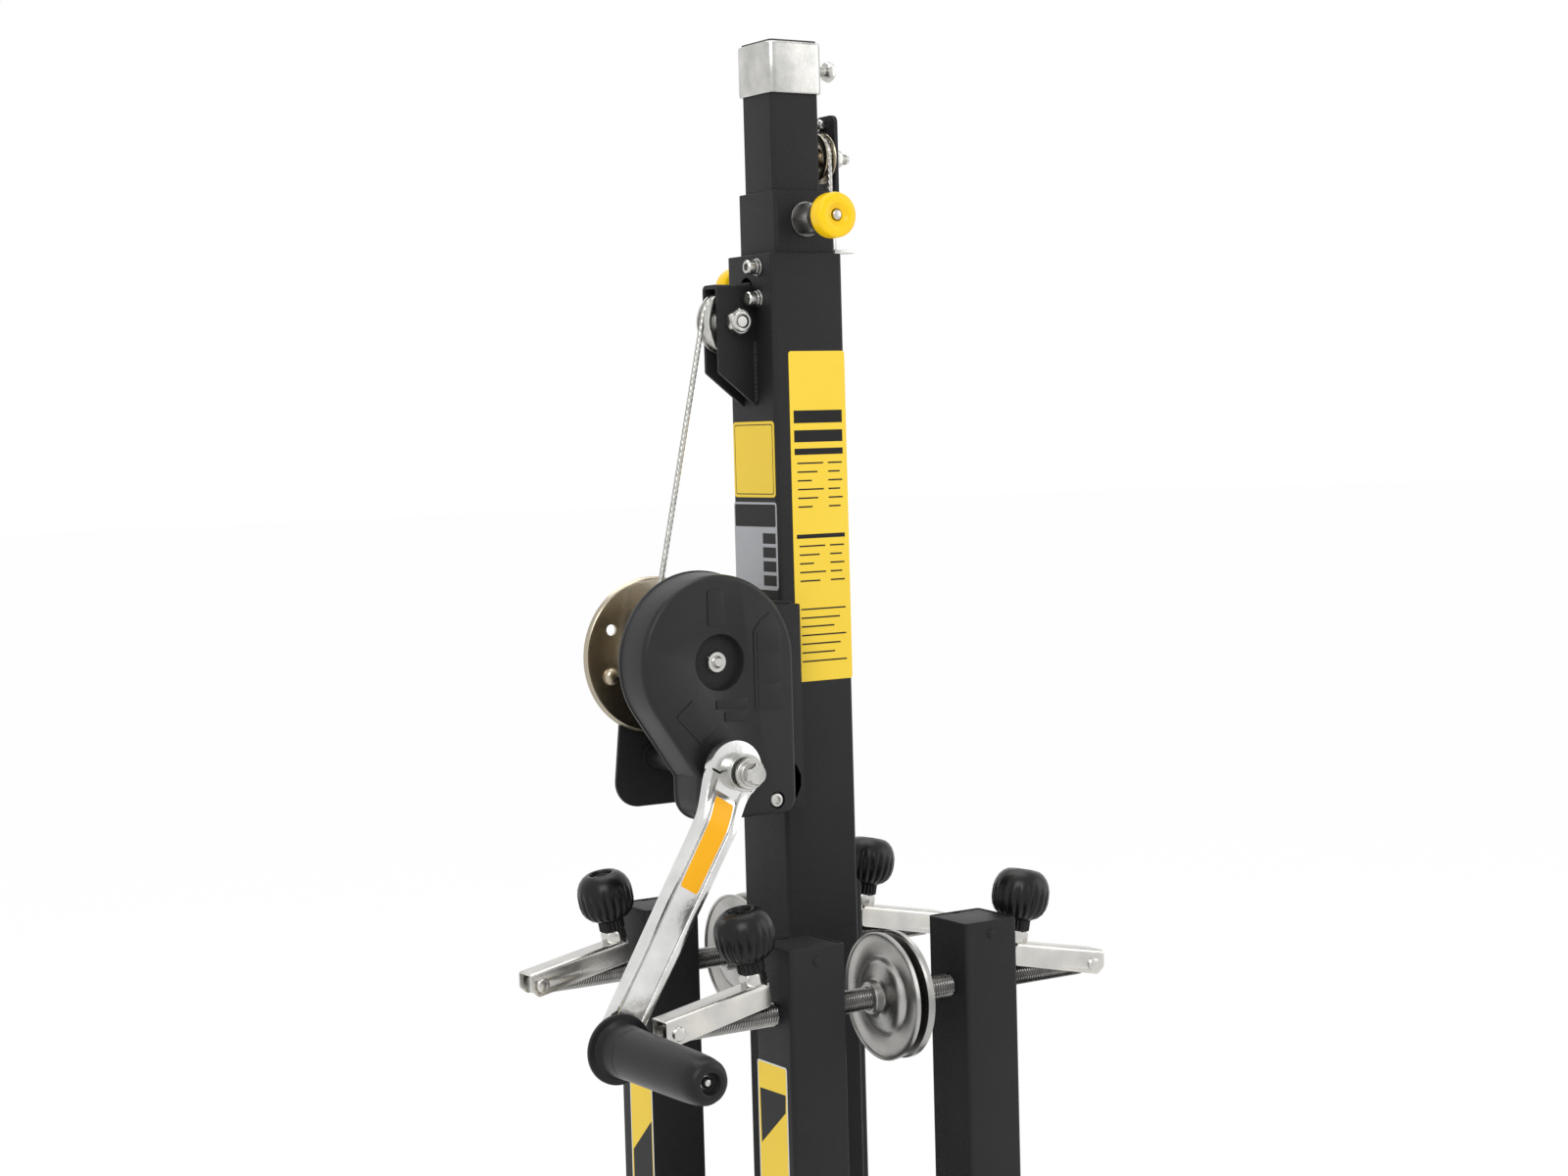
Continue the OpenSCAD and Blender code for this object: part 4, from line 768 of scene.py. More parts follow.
def lean_and_ends():
    """Direction of the rope's free run, and its points at the drum and at the upper pulley."""
    dx, dz = TOP_PULLEY.x - DRUM_AXIS.x, TOP_PULLEY.z - DRUM_AXIS.z
    lean = math.atan2(dx, dz) + math.asin((WIND_R - TOP_WHEEL_R) / math.hypot(dx, dz))
    def off(centre, r):
        return Vector((centre.x - r * math.cos(lean), ROPE_Y, centre.z + r * math.sin(lean)))
    return lean, off(DRUM_AXIS, WIND_R), off(TOP_PULLEY, TOP_WHEEL_R)


def blended_rope(name, start, end, ref, plain):
    """Straight run of rope, attached to no body; a plain one is out of sight in the mast."""
    if plain:
        loops = rope_loops(resample([start, end], 4), ref, sides=12, strands=0)
    else:
        loops = rope_loops(resample([start, end], 1.0), ref)
    obj = piece(name, Shape().loft(loops), None, ROPE, sharp=180)
    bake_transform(obj)


def make_ropes():
    lean, start, end = lean_and_ends()
    arc = []
    for k in range(49):
        a = (math.pi - lean) * (1 - k / 48)
        arc.append(Vector((TOP_PULLEY.x + TOP_WHEEL_R * math.cos(a), ROPE_Y,
                           TOP_PULLEY.z + TOP_WHEEL_R * math.sin(a))))
    run = resample([start + (end - start).normalized() * ROPE_LEAD] + arc, 1.0)
    shape = Shape().loft(rope_loops(run, (0, 1, 0)))
    piece("hoist_rope_run", shape, "root", ROPE, ["hoist_rope"], sharp=180)
    x = TOP_PULLEY.x + TOP_WHEEL_R
    blended_rope("hoist_rope_inside", (x, ROPE_Y, TOP_PULLEY.z),
                 (x, ROPE_Y, corners("hoist_rope")[0].z), (0, 1, 0), True)
    make_winding(lean)
    make_transfer_rope()


def make_winding(lean):
    """The drum's outer layer: it ends at the free run and is clamped by the far flange."""
    high = corners("rope_winding")[1].y - ROPE_R
    turns = (high - ROPE_Y) / WIND_PITCH
    steps = int(turns * 80)
    path = []
    for i in range(steps + 1):
        a = math.pi - lean + 2 * math.pi * turns * (steps - i) / steps
        path.append(Vector((DRUM_AXIS.x + WIND_R * math.cos(a), high - (high - ROPE_Y) * i / steps,
                            DRUM_AXIS.z + WIND_R * math.sin(a))))
    path.append(path[-1] + Vector((math.sin(lean), 0, math.cos(lean))) * ROPE_LEAD)
    shape = Shape().loft(rope_loops(path, (0, 1, 0), sides=24))
    piece("drum_winding", shape, "drum", ROPE, ["rope_winding"], sharp=180)


def make_transfer_rope():
    low = corners("transfer_rope")[0]
    x, z, r = MID_PULLEY.x, MID_PULLEY.z, MID_WHEEL_R
    foot_x = low.x + ROPE_R
    notch = MID_TOP - NOTCH_DROP
    blended_rope("transfer_rope_near", (x, -r, corners("rope_anchor")[1].z), (x, -r, z), (1, 0, 0),
                 False)
    arc = [Vector((x, -r * math.cos(math.pi * k / 40), z + r * math.sin(math.pi * k / 40)))
           for k in range(41)]
    over = resample(arc + [Vector((foot_x, r, notch))], 1.0)
    piece("transfer_rope_over", Shape().loft(rope_loops(over, (1, 0, 0))), "mid_section", ROPE,
          ["transfer_rope"], sharp=180)
    blended_rope("transfer_rope_inside", (foot_x, r, notch), (foot_x, r, low.z), (1, 0, 0),
                 True)


# Winch

def make_winch_frame():
    low, high = corners("winch_frame")
    web = -OUTER_FACE - WINCH_WEB
    shared = [(web + 3, low.z + 1, 1), (web + 3, high.z - 1, 1), (web - 16, high.z - 18, 18),
              (DRUM_AXIS.x, DRUM_AXIS.z, PLATE_HEAD_R)]
    near, far = [Shape().prism(belt([nose, (web - 16, foot, 18)] + shared), "xz", y, y + 3)
                 .bevel(0.45, 2, 50) for nose, foot, y in
                 ((NEAR_PLATE_NOSE, 1069, low.y), (FAR_PLATE_NOSE, 1067, high.y - 3))]
    near.join(far)
    near.join(Shape().box((web, low.y + 0.6, low.z), (-OUTER_FACE, high.y - 0.6, high.z))
              .bevel(0.8, 2, 40))
    washer(near, 8.05, 10.5, high.y - 5, high.y - 2, PINION_SHAFT, "y")
    for z in (low.z, high.z):
        weld(near, (web + 2, low.y + 8, z), (web + 2, high.y - 8, z), 1.6, (0, 0, 1), z)
    piece("winch_sides", near, "root", POWDER, ["winch_frame"])


def cover_loop(grow, y):
    """Ring of the gear cover's outline, grown by grow, in the plane at y."""
    cx, cz = DRUM_AXIS.x, DRUM_AXIS.z
    low, high = COVER_LOW, COVER_HIGH
    big = high.x - cx
    nub = (cx - 16.5, PINION_AXIS.z - 1, max(6 + grow, 1.5))
    dx, dz = nub[0] - cx, nub[1] - cz
    leave = math.atan2(dz, dx) - math.acos((big - 6) / math.hypot(dx, dz)) + 2 * math.pi
    notch = 2 * math.pi - math.acos(max(-1, min(1, (-4 - grow) / nub[2])))
    arcs = [(cx, cz, big + grow, 0, leave, 72), (*nub, leave, notch, 8),
            (cx - 2.5, low.z + 18, 18 + grow, math.pi, 1.5 * math.pi, 14),
            (high.x - 12, low.z + 12, 12 + grow, 1.5 * math.pi, 2 * math.pi, 12)]
    ring = []
    for x, z, r, a0, a1, n in arcs:
        for k in range(n + 1):
            a = a0 + (a1 - a0) * k / n
            ring.append((x + r * math.cos(a), y, z + r * math.sin(a)))
    return ring


# Raised panels on the cover's face: outline round the drum's axis, lift and root depth
COVER_PANELS = [
    (fillet([(27, -35, 2), (50, -35, 2), (50, 18, 3), (42, 33, 3), (33, 27, 3), (27, 20, 3)], 4),
     0.7, 1),
    (fillet([(-36, -35, 1.5), (-16.2, -56, 1.5), (-3.4, -44, 1.5), (-22.4, -24, 1.5)], 4), 0.7, 1),
    (rectangle(-4, -32, 21, -25.5, 1.2, 4), 0.7, 1),
    (rectangle(2.5, -41, 21, -34, 1.2, 4), 0.7, 1),
    (rectangle(-9, 25, 4, 50, 2, 4), 0.7, 1),
    (rectangle(29.5, -33, 47.5, -17, 1.2, 4), 1.15, 0),
    (rectangle(29.5, -15, 47.5, 3, 1.2, 4), 1.15, 0),
    (rectangle(29.5, 5, 47.5, 19, 1.2, 4), 1.15, 0),
]


def make_gear_cover():
    front = COVER_LOW.y

    def turned(profile, axle, sides, closed=False):
        return Shape().lathe(along(front, profile), axle, "y", sides, closed)

    cover = Shape().loft([cover_loop(g, front + d) for g, d in COVER_PROFILE])
    cover.union(turned([(21, 2), (21, 13)], DRUM_SHAFT, 96))
    cover.cut(turned([(0.01, -2), (20.5, -2), (20.5, -0.1), (19.6, 0.4), (19, 1.5), (17.8, 10),
                      (17, 11), (0.01, 11)], DRUM_SHAFT, 96))
    cover.cut(turned([(10.9, -2), (10.9, 6)], PINION_SHAFT, 64))
    cover.join(turned([(7.2, 11.5), (7.2, 5), (8.2, 4.6), (10.2, 4.6), (11, 5.4), (11.4, 11.5)],
                      DRUM_SHAFT, 72, True))
    ring = turned([(10.9, 3), (25.6, 3), (25.6, 0.2), (25.1, -0.6), (24.4, -0.8), (12.2, -0.8),
                   (11.4, -0.3), (10.9, 0.5)], PINION_SHAFT, 96, True)
    ring.overlap(Shape().loft([cover_loop(-2.4, front - 2), cover_loop(-2.4, front + 4)]))
    cover.join(ring)
    for outline, lift, root in COVER_PANELS:
        panel = Shape().prism(outline, "xz", front - lift, front + root)
        cover.join(panel.move(*DRUM_SHAFT).bevel(0.3, 2, 50))
    cover.cut(turned([(6.2, -2), (6.2, 2.2)], COVER_SCREW, 48))
    piece("gear_cover_shell", cover, "root", PLASTIC, ["gear_cover"])


def make_axle():
    front = COVER_LOW.y
    far = corners("winch_frame")[1].y
    shape = Shape()
    stub(shape, 6, far + 12, front + 10.5, DRUM_SHAFT, "y", 1.75)
    stub(shape, 4, front + 11, front + 1.6, DRUM_SHAFT, "y", 1.25)
    hex_block(shape, 14, front + 11, front + 4.0, DRUM_SHAFT, "y", 4)
    hex_block(shape, M12_HEX, far, far + 7, DRUM_SHAFT, "y", 5.9)
    washer(shape, 6, 12, far, far + 1.5, DRUM_SHAFT, "y")
    shape.lathe(along(front, [(3.4, 6), (5.2, 2.2), (5.2, 1.2), (4.4, 0.3), (2.9, 0.1), (2.6, 0.6),
                              (2.5, 2)]), COVER_SCREW, "y", 40)
    piece("drum_axle_nuts", shape, "root", ZINC, ["drum_axle"])


def on_flange(radius, degrees):
    a = math.radians(degrees)
    return (DRUM_AXIS.x + radius * math.cos(a), 0, DRUM_AXIS.z + radius * math.sin(a))


def make_drum():
    low, high = corners("drum")
    near, far = NEAR_FLANGE_Y, high.y - 4
    profile = [(6.05, low.y), (11.9, low.y)]
    profile += along(near, [(11.9, -2.5), (53.5, -2.5), (55.2, -2.3), (56, -1.5), (55.7, -0.4),
                            (54.5, 0), (17.5, 0), (16, 1.5)])
    profile += along(far, [(16, -1.5), (17.5, 0), (52, 0), (54, 0.3), (55.5, 1.6), (56, 3.2),
                           (55.4, 4), (54, 3.9), (53.4, 3), (52.2, 2.6), (51, 2.5), (6.05, 2.5)])
    drum = Shape().lathe(profile, DRUM_SHAFT, "y", 128, True)
    drum.cut(Shape().lathe([(4, far - 2), (4, far + 6)], on_flange(40, 150), "y", 40))
    drum.lathe(along(far, [(6.5, 0), (6.5, -1.2), (5.8, -3), (4, -4.5), (1.5, -5)]),
               on_flange(38, 200), "y", 48)
    piece("drum_flanges", drum, "drum", GOLD_ZINC, ["drum"])


# Crank, drawn with its shaft at the origin and its grip along +X

def at_crank(shape):
    shape.turn(CRANK_TURN, "Y", (0, 0, 0))
    return shape.move(PINION_AXIS.x, 0, PINION_AXIS.z)


def smooth(t):
    t = max(0, min(1, t))
    return t * t * (3 - 2 * t)


def arm_half(u):
    """Half width of the crank's arm, u along it from the shaft."""
    if u > ARM_TAPER:
        return 14.3 + 1.3 * (CRANK_R - u) / (CRANK_R - ARM_TAPER)
    return 15.6 + 3.8 * ((ARM_TAPER - u) / 80) ** 4


def arm_front(u):
    low, high = corners("crank_arm")
    eye = high.y - EYE_DEPTH
    return eye + (low.y - eye) * smooth((u - EYE_BEND[0]) / (EYE_BEND[1] - EYE_BEND[0]))


def arm_panel(u):
    """How deep the arm's middle panel lies behind its flanges."""
    return 0.5 + 2.4 * (1 - smooth((u - PANEL_BEND[0]) / (PANEL_BEND[1] - PANEL_BEND[0])))


def arm_section(u):
    h, front, deep = arm_half(u), arm_front(u), arm_panel(u)
    groove = 8.9 - 0.7 * u / CRANK_R
    half = [(groove, deep), (groove + 0.2, deep + 1.0), (groove + 0.9, deep + 1.0),
            (groove + 1.1, 0.5), (groove + 1.8, 0), (h - 1.8, 0), (h - 0.6, 0.4), (h, 1.5),
            (h, ARM_DEPTH - 1.2), (h - 0.4, ARM_DEPTH - 0.35), (h - 1.2, ARM_DEPTH)]
    return [(u, front + d, v) for v, d in half] + [(u, front + d, -v) for v, d in reversed(half)]


def make_crank():
    low, high = corners("crank_arm")
    eye, back = high.y - EYE_DEPTH, high.y
    tip = CRANK_R + 13.5
    places = [6 + k * 1.5 for k in range(30)] + [52 + (tip + 1 - 52) * k / 20 for k in range(21)]
    arm = Shape().loft([arm_section(u) for u in places])
    round_end = fillet([(0, -25, 0), (150, -25, 0), (150, -15.2, 0), (tip, -14.4, 13),
                        (tip, 14.4, 13), (150, 15.2, 0), (150, 25, 0), (0, 25, 0)], 10)
    arm.overlap(Shape().prism(round_end, "xz", low.y - 1, high.y + 1))
    arm.lathe([(8, eye), (EYE_R - 1.2, eye), (EYE_R - 0.3, eye + 0.4), (EYE_R, eye + 1.3),
               (EYE_R, back - 1), (EYE_R - 1, back), (8, back)], (0, 0, 0), "y", 96, True)
    piece("crank_lever", at_crank(arm), "crank", CAST, ["crank_arm"], sharp=40)
    start, end = STICKER_ENDS
    wide, slim = STICKER_HALF
    loops = []
    for k in range(25):
        u = start + (end - start) * k / 24
        half = wide + (slim - wide) * k / 24 - (0.7 if k in (0, 24) else 0)
        y = arm_front(u) + arm_panel(u)
        loops.append([(u, y + 0.1, -half), (u, y - 0.18, -half), (u, y - 0.18, half),
                      (u, y + 0.1, half)])
    piece("crank_colour_strip", at_crank(Shape().loft(loops)), "crank", STICKER)
    make_crank_bolts(eye, low.y)
    make_grip()


def make_crank_bolts(eye, front):
    shape = Shape()
    washer(shape, 8, 13, eye + 0.2, eye - 13.6, PINION_SHAFT, "y")
    # The dark neck between the collar and the washers is painted shade in that groove.
    shape.lathe([(9, eye - 13), (9, eye - 17)], PINION_SHAFT, "y", 48, False, 1)
    washer(shape, 6, 10.8, eye - 16.4, eye - 19.4, PINION_SHAFT, "y")
    washer(shape, 6, 8.6, eye - 19.4, eye - 21.6, PINION_SHAFT, "y")
    hex_block(shape, M8_HEX, eye - 21.6, eye - 27.9, PINION_SHAFT, "y")
    root = corners("crank_grip")[1].y
    washer(shape, 5, 9, front, root + 0.3, GRIP_PIN, "y")
    washer(shape, 5, 8, front + ARM_DEPTH, front + ARM_DEPTH + 2.4, GRIP_PIN, "y")
    piece("crank_shaft_bolt", shape, "crank", [ZINC, GEAR_STEEL_AND_PAINTED_SHADE], ["crank_bolts"])


def make_grip():
    low, high = corners("crank_grip")
    root, tip = high.y, low.y
    profile = along(root, [(5.4, 0), (23, 0), (23.6, -0.6), (23.6, -2.2), (23, -3), (19.6, -3.4),
                           (18.3, -5), (17.7, -9), (17.4, -20), (17.2, -22.2), (16.8, -22.6),
                           (17.2, -23), (17, -45)])
    profile += along(tip, [(16.4, 26), (15.8, 12), (14.8, 5.5), (13.1, 2.2), (10.8, 0.4),
                           (8.6, 0.1), (7.2, 0.7), (5.4, 4.5), (5.4, 6.5)])
    grip = Shape().lathe(profile, GRIP_PIN, "y", 96, True)
    end = along(tip, [(5.3, 7.4), (3.6, 6.8), (2.9, 5), (2, 3.9), (0.8, 3.5)])
    pin = Shape().lathe([(5.3, root - 4)] + end, GRIP_PIN, "y", 48)
    piece("grip_pin_tip", pin, "crank", ZINC)
    piece("crank_handle", grip, "grip", GRIP, ["crank_grip"])


# Legs and jacks, drawn for +X and mirrored for the other side

def make_leg(name, side):
    node = "leg_" + name
    low, high = corners(node)
    centre = middle(node)
    x, y = abs(centre.x), centre.y
    w = high.y - low.y
    axis = (0, 0, SCREW_Z)
    tube = mast_tube(x, w, low.z, high.z - 0.2)
    cap = Shape().prism(square_outline(x, w - 4.6, 2), "xy", high.z - 3.4, high.z - 0.7)
    cap.cut(Shape().box((x - 3, w / 2 - 5, high.z - 5), (x + 3, w / 2, high.z + 1)))
    tube.join(cap.bevel(0.4, 2, 50))
    for way in (-1, 1):
        face = x + way * w / 2
        washer(tube, 8.2, 14.5, face - way * 0.5, face + way * 1.5, axis, "x")
    tube.cut(Shape().lathe([(8.15, x - w), (8.15, x + w)], axis, "x", 48))
    rivet = along(-w / 2, [(3.4, 0.3), (3.4, -0.2), (2.6, -1), (1.2, -1.3)])
    tube.lathe(rivet, (x, 0, high.z - 10), "y", 32)
    piece(node + "_tube", tube.mirror(side).move(0, y, 0), node, POWDER, [node])


def reach(node):
    """Nearest and farthest distance of a node from the mast's axis along X, and its place in Y."""
    low, high = corners(node)
    near, far = sorted((abs(low.x), abs(high.x)))
    return near, far, middle(node).y


def make_foot(name, side):
    node = "foot_" + name
    near, far, y = reach(node)
    profile = along(near, [
        (0.01, 3.2), (10, 3.2), (24.5, 2.4), (27.5, 0.8), (38, 0.2), (43, 0.9), (44.2, 2.2),
        (44.5, 5.2), (43.6, 5.6), (42.9, 5), (42.6, 3.6), (41.2, 2.6), (37.5, 2.2), (29.2, 2.6),
        (27.4, 3.4), (26, 5), (24.4, 6.4), (21.5, 7.4), (16, 8.6), (12.9, 9.4), (12, 10.2)])
    profile += along(far, [(11.5, -1.2), (10.7, -0.3), (9.8, 0), (8.3, 0)])
    profile += along(near, [(8.3, 4.4), (0.01, 4.4)])
    foot = Shape().lathe(profile, (0, 0, SCREW_Z), "x", 120, True)
    piece(node + "_pad", foot.mirror(side).move(0, y, 0), node, FOOT, [node])


def make_screw(name, side):
    node = "screw_" + name
    near, far, y = reach(node)
    axis = (0, 0, SCREW_Z)
    r, pitch, depth, sides = 8.0, 2.0, 1.25, 48
    neck = PIN_X - 7.5
    loops = [circle(r - 1.2, near, axis, "x", sides)]
    steps = int((neck - near - 4) / (pitch / 8))
    for i in range(steps + 1):
        x = near + 4 + i * pitch / 8
        fade = min(1, i / 12, (steps - i) / 12)
        ring = []
        for k in range(sides):
            a = 2 * math.pi * k / sides
            phase = (x / pitch - k / sides) % 1
            cut = depth * fade * min(1, abs(phase - 0.5) * 2.6)
            ring.append((x, (r - cut) * math.cos(a), SCREW_Z + (r - cut) * math.sin(a)))
        loops.append(ring)
    shape = Shape().loft(loops)
    # Faces deep in the thread's groove take the dark gear steel: painted shade in the thread's
    # roots.
    for face in shape.bm.faces:
        c = face.calc_center_median()
        if math.hypot(c.y, c.z - SCREW_Z) < r - 0.62 * depth:
            face.material_index = 1
    shape.lathe([(5.4, neck - 1), (6, neck - 0.4), (6, far - 1), (5.2, far)], axis, "x", sides)
    piece(node + "_thread", shape.mirror(side).move(0, y, 0), node, [ZINC_THREAD, GEAR_STEEL_AND_PAINTED_SHADE],
          [node], sharp=60)


def arm_top(x):
    """Height of the folding arm's sloping back."""
    return SCREW_Z + ARM_RISE + (ARM_TIP_RISE - ARM_RISE) * (x - ARM_START) / ARM_RUN


def make_arm(name, side):
    node = "arm_" + name
    tip = PIN_X + 9.5
    half, wall, bend = 9.8, 1.5, 2.6
    back, floor = SCREW_Z + ARM_RISE, SCREW_Z + 8.3
    side_view = fillet([(ARM_START, back, 6), (ARM_START, floor, 2.5), (tip - 6, SCREW_Z - 8, 3),
                        (tip, SCREW_Z - 3, 3), (tip, SCREW_Z + ARM_TIP_RISE, 1.5)], 6)
    inner = half - wall
    section = fillet([(-half, -60, 0), (-half, 0, bend), (half, 0, bend), (half, -60, 0),
                      (inner, -60, 0), (inner, -wall, bend - wall), (-inner, -wall, bend - wall),
                      (-inner, -60, 0)], 5)
    loops = [[(x, v, arm_top(x) + w) for v, w in section] for x in (ARM_START - 1, tip + 1)]
    arm = Shape().loft(loops)
    arm.overlap(Shape().prism(side_view, "xz", -half - 1, half + 1))
    pin = (PIN_X, 0, SCREW_Z)
    arm.cut(Shape().lathe([(3.1, -half - 1), (3.1, half + 1)], pin, "y", 32))
    arm.bevel(0.3, 2, 50)
    arm.join(Shape().box((ARM_START + 0.2, -inner, floor + 0.3),
                         (ARM_START + wall, inner, back - 1)))
    arm.lathe([(2.6, half + 2), (3, half + 1.6), (3, -half)], pin, "y", 32)
    arm.lathe(along(-half, [(5, 0), (5, -0.6), (4.2, -1.5), (2, -2)]), pin, "y", 40)
    base = Shape()
    hex_block(base, 16, -0.6, 7.7, (0, 0, 0), "z")
    stub(base, 4, 7, 28, (0, 0, 0), "z")
    arm.join(at_knob(base))
    piece(node + "_channel", arm.mirror(side).move(0, middle(node).y, 0), node, ARM,
          [node])


def at_knob(shape):
    """Puts a shape drawn along +Z on the arm's back, square to its slope."""
    shape.turn(math.degrees(ARM_SLOPE), "Y", (0, 0, 0))
    return shape.move(KNOB_FOOT_X, 0, arm_top(KNOB_FOOT_X))


def make_knob(name, side):
    node = "knob_" + name
    y = middle(node).y
    knob = Shape()
    profile = [(4.2, 8.05), (8.4, 8.05), (9.3, 8.6), (9.5, 9.4), (9.5, 15.6), (10.7, 16.6),
               (14.2, 18.2), (17.4, 21.2), (19.4, 25), (20.4, 29.5), (20.5, 34), (20.3, 38),
               (19.2, 42.5), (17.2, 46.4), (14.4, 49.4), (11.4, 51.2), (9.6, 51.5), (8.6, 51.2),
               (8.2, 50.4), (7.9, 47.8), (4.2, 47.6)]
    loops = []
    for r, z in profile:
        ring = []
        for k in range(KNOB_SPLINES * 8):
            a = 2 * math.pi * k / (KNOB_SPLINES * 8)
            wave = 0.5 - 0.5 * math.cos(a * KNOB_SPLINES)
            if z < 16 and r > 9:
                rr = r - 0.9 * wave
            elif 17 < z < 40 and r > 12:
                rr = r - 1.5 * wave ** 2 * min(1, (40 - z) / 6, (z - 17) / 4)
            else:
                rr = r
            ring.append((rr * math.cos(a), rr * math.sin(a), z))
        loops.append(ring)
    knob.loft(loops, closed=True)
    knob.lathe([(4.3, 46.4), (6.9, 46.4), (6.9, 48.6), (6.3, 49.0), (4.3, 49.0)], (0, 0, 0), "z",
               48, True, 1)
    piece(node + "_ball", at_knob(knob).mirror(side).move(0, y, 0), node, [KNOB, ZINC],
          [node], sharp=40)


# Base

def make_base():
    beads = Shape()
    top = corners("base_plate")[1].z
    for name in LEGS:
        x, y, z = middle("leg_" + name)
        for v, seed in ((-SOCKET_EDGE, -2 * SOCKET_EDGE), (SOCKET_EDGE, 0)):
            weld(beads, (x - WELD_REACH, y + v, top), (x + WELD_REACH, y + v, top), 1.8, (0, 0, 1),
                 seed)
        for u, seed in ((-SOCKET_EDGE, -2 * SOCKET_EDGE), (SOCKET_EDGE, 0)):
            weld(beads, (x + u, y - WELD_REACH, top), (x + u, y + WELD_REACH, top), 1.8, (0, 0, 1),
                 seed)
    z = OUTER_LOW.z
    for s in (-1, 1):
        u = s * OUTER_FACE
        weld(beads, (u, -24, z), (u, 24, z), 2.0, (0, 0, 1), s)
        weld(beads, (-24, u, z), (24, u, z), 2.0, (0, 0, 1), s)
    piece("base_weld_beads", beads, "root", POWDER)
    for direction in ("left", "right", "front", "rear"):
        make_trigger("trigger_" + direction)
    make_wheels()


def make_trigger(node):
    low, high = corners(node)
    top = high.z
    place = (middle(node).x, middle(node).y, 0)
    knob = Shape()
    knob.lathe(along(top, [(5.2, -14), (9.6, -14), (10.7, -13.2), (11, -12), (11, -3),
                           (10.5, -1.4), (9.2, -0.3), (7.5, 0), (3.4, 0), (2.8, -0.8),
                           (0.01, -0.8)]), place, "z", 64)
    knob.lathe([(4.2, low.z), (5, low.z + 1.5), (5, top - 9)], place, "z", 40, False, 1)
    piece(node + "_knob", knob, node, [YELLOW, ZINC], [node])


def make_wheels():
    low, high = corners("wheel_set")
    centre = middle("wheel_set")
    r = (high.z - low.z) / 2
    axle = (0, centre.y, centre.z)
    shape = Shape()
    shape.lathe(mirrored(low.x, high.x, [(4.4, 0), (5, 0.8)]), axle, "x", 40, False, 2)
    rim = [(5.1, 0), (15.4, 0), (16, 0.6), (16.6, 5), (37, 5), (40.6, 4), (42.4, 0.5)]
    edge = [(42.2, 0.8), (44, 0), (r - 4, 0), (r - 1.2, 1.4), (r, 4)]
    groove = [(r, 0), (r - 0.9, 0.5), (r - 0.9, 0.9), (r, 1.4)]
    for s in (-1, 1):
        a, b = s * WHEEL_INNER, s * WHEEL_OUTER
        shape.lathe(mirrored(a, b, rim), axle, "x", 96, True, 1)
        tyre = along(a, edge, s)
        for k in range(4):
            tyre += along(a + s * (6 + 3.2 * k), groove, s)
        tyre += along(b, list(reversed(edge)), -s)
        shape.lathe(tyre, axle, "x", 120, True, 0)
    piece("wheel_pair", shape, "wheels", [RUBBER, PLASTIC, ZINC], ["wheel_set"])


# Plain coloured labels, without text

def label(name, plane, fields, level, body):
    """Thin plates on a face: fields are (outline, material, lift), level is the face."""
    shape = Shape()
    materials = []
    for outline, material, lift in fields:
        if material not in materials:
            materials.append(material)
        shape.prism(outline, plane, level - lift, level + 0.05, materials.index(material))
    return piece(name, shape, body, materials)


def make_labels():
    fields = [(rectangle(-18, 1135, 29.5, 1370, 2, 3), LABEL_YELLOW, 0.20)]
    for low, high in ((1319, 1328), (1305.5, 1314), (1296.5, 1301), (1237, 1240)):
        fields.append((bar(-15, low, 26, high), LABEL_BLACK, 0.26))
    for top, rows, wide in ((1290, 6, 22), (1231, 5, 22), (1186, 7, 38)):
        for row in range(rows):
            z = top - LABEL_LINE_STEP * row
            end = -13 + wide - 5 * (row % 3)
            fields.append((bar(-13, z, end, z + LABEL_LINE), LABEL_BLACK, 0.25))
            if wide < 30:
                fields.append((bar(13, z, 25 - 2 * (row % 2), z + LABEL_LINE), LABEL_BLACK, 0.25))
    label("mast_front_label", "xz", fields, OUTER_LOW.y, "root")
    fields = [(rectangle(-27.5, 1267, 27.5, 1321, 3, 5), LABEL_YELLOW, 0.2),
              (rectangle(-25.5, 1269, 25.5, 1319, 2, 5), LABEL_BLACK, 0.24),
              (rectangle(-24.8, 1269.7, 24.8, 1318.3, 1.6, 5), LABEL_YELLOW, 0.28)]
    label("mast_side_label", "yz", fields, -OUTER_FACE, "root")
    fields = [(rectangle(-28, 1201, 29, 1263.5, 2.5, 5), LABEL_GREY, 0.2),
              (rectangle(-26.6, 1246, 27.6, 1262, 1.5, 4), LABEL_BLACK, 0.26)]
    for row in range(4):
        z = 1204 + 10 * row
        fields.append((bar(-26, z, -9, z + 7.5), LABEL_BLACK, 0.26))
    label("rating_plate", "yz", fields, -OUTER_FACE, "root")
    leg_label("front_left", 887, 18.5, 3,
              [(-90.7, 867.6), (-123, 868.1), (-122.4, 855.9), (-91.2, 829.7)])
    leg_label("rear_left", 842, 16.4, -7, [(62.5, 811.6), (90.6, 785), (90.6, 740), (62.5, 740)])


def leg_label(name, top, half, shift, stripe):
    centre = middle("leg_" + name)
    y0, y1 = centre.y + shift - half, centre.y + shift + half
    foot = LEG_LABEL_FOOT
    fields = [(rectangle(y0, foot, y1, top, 2, 4), LABEL_WHITE, 0.16),
              (rectangle(y0 + 1, foot + 1, y1 - 1, top - 1, 1.4, 4), LABEL_YELLOW, 0.2),
              (stripe, LABEL_BLACK, 0.26)]
    label("leg_label_" + name, "yz", fields, centre.x - LEG_HALF, "leg_" + name)


# Stage, lights and camera

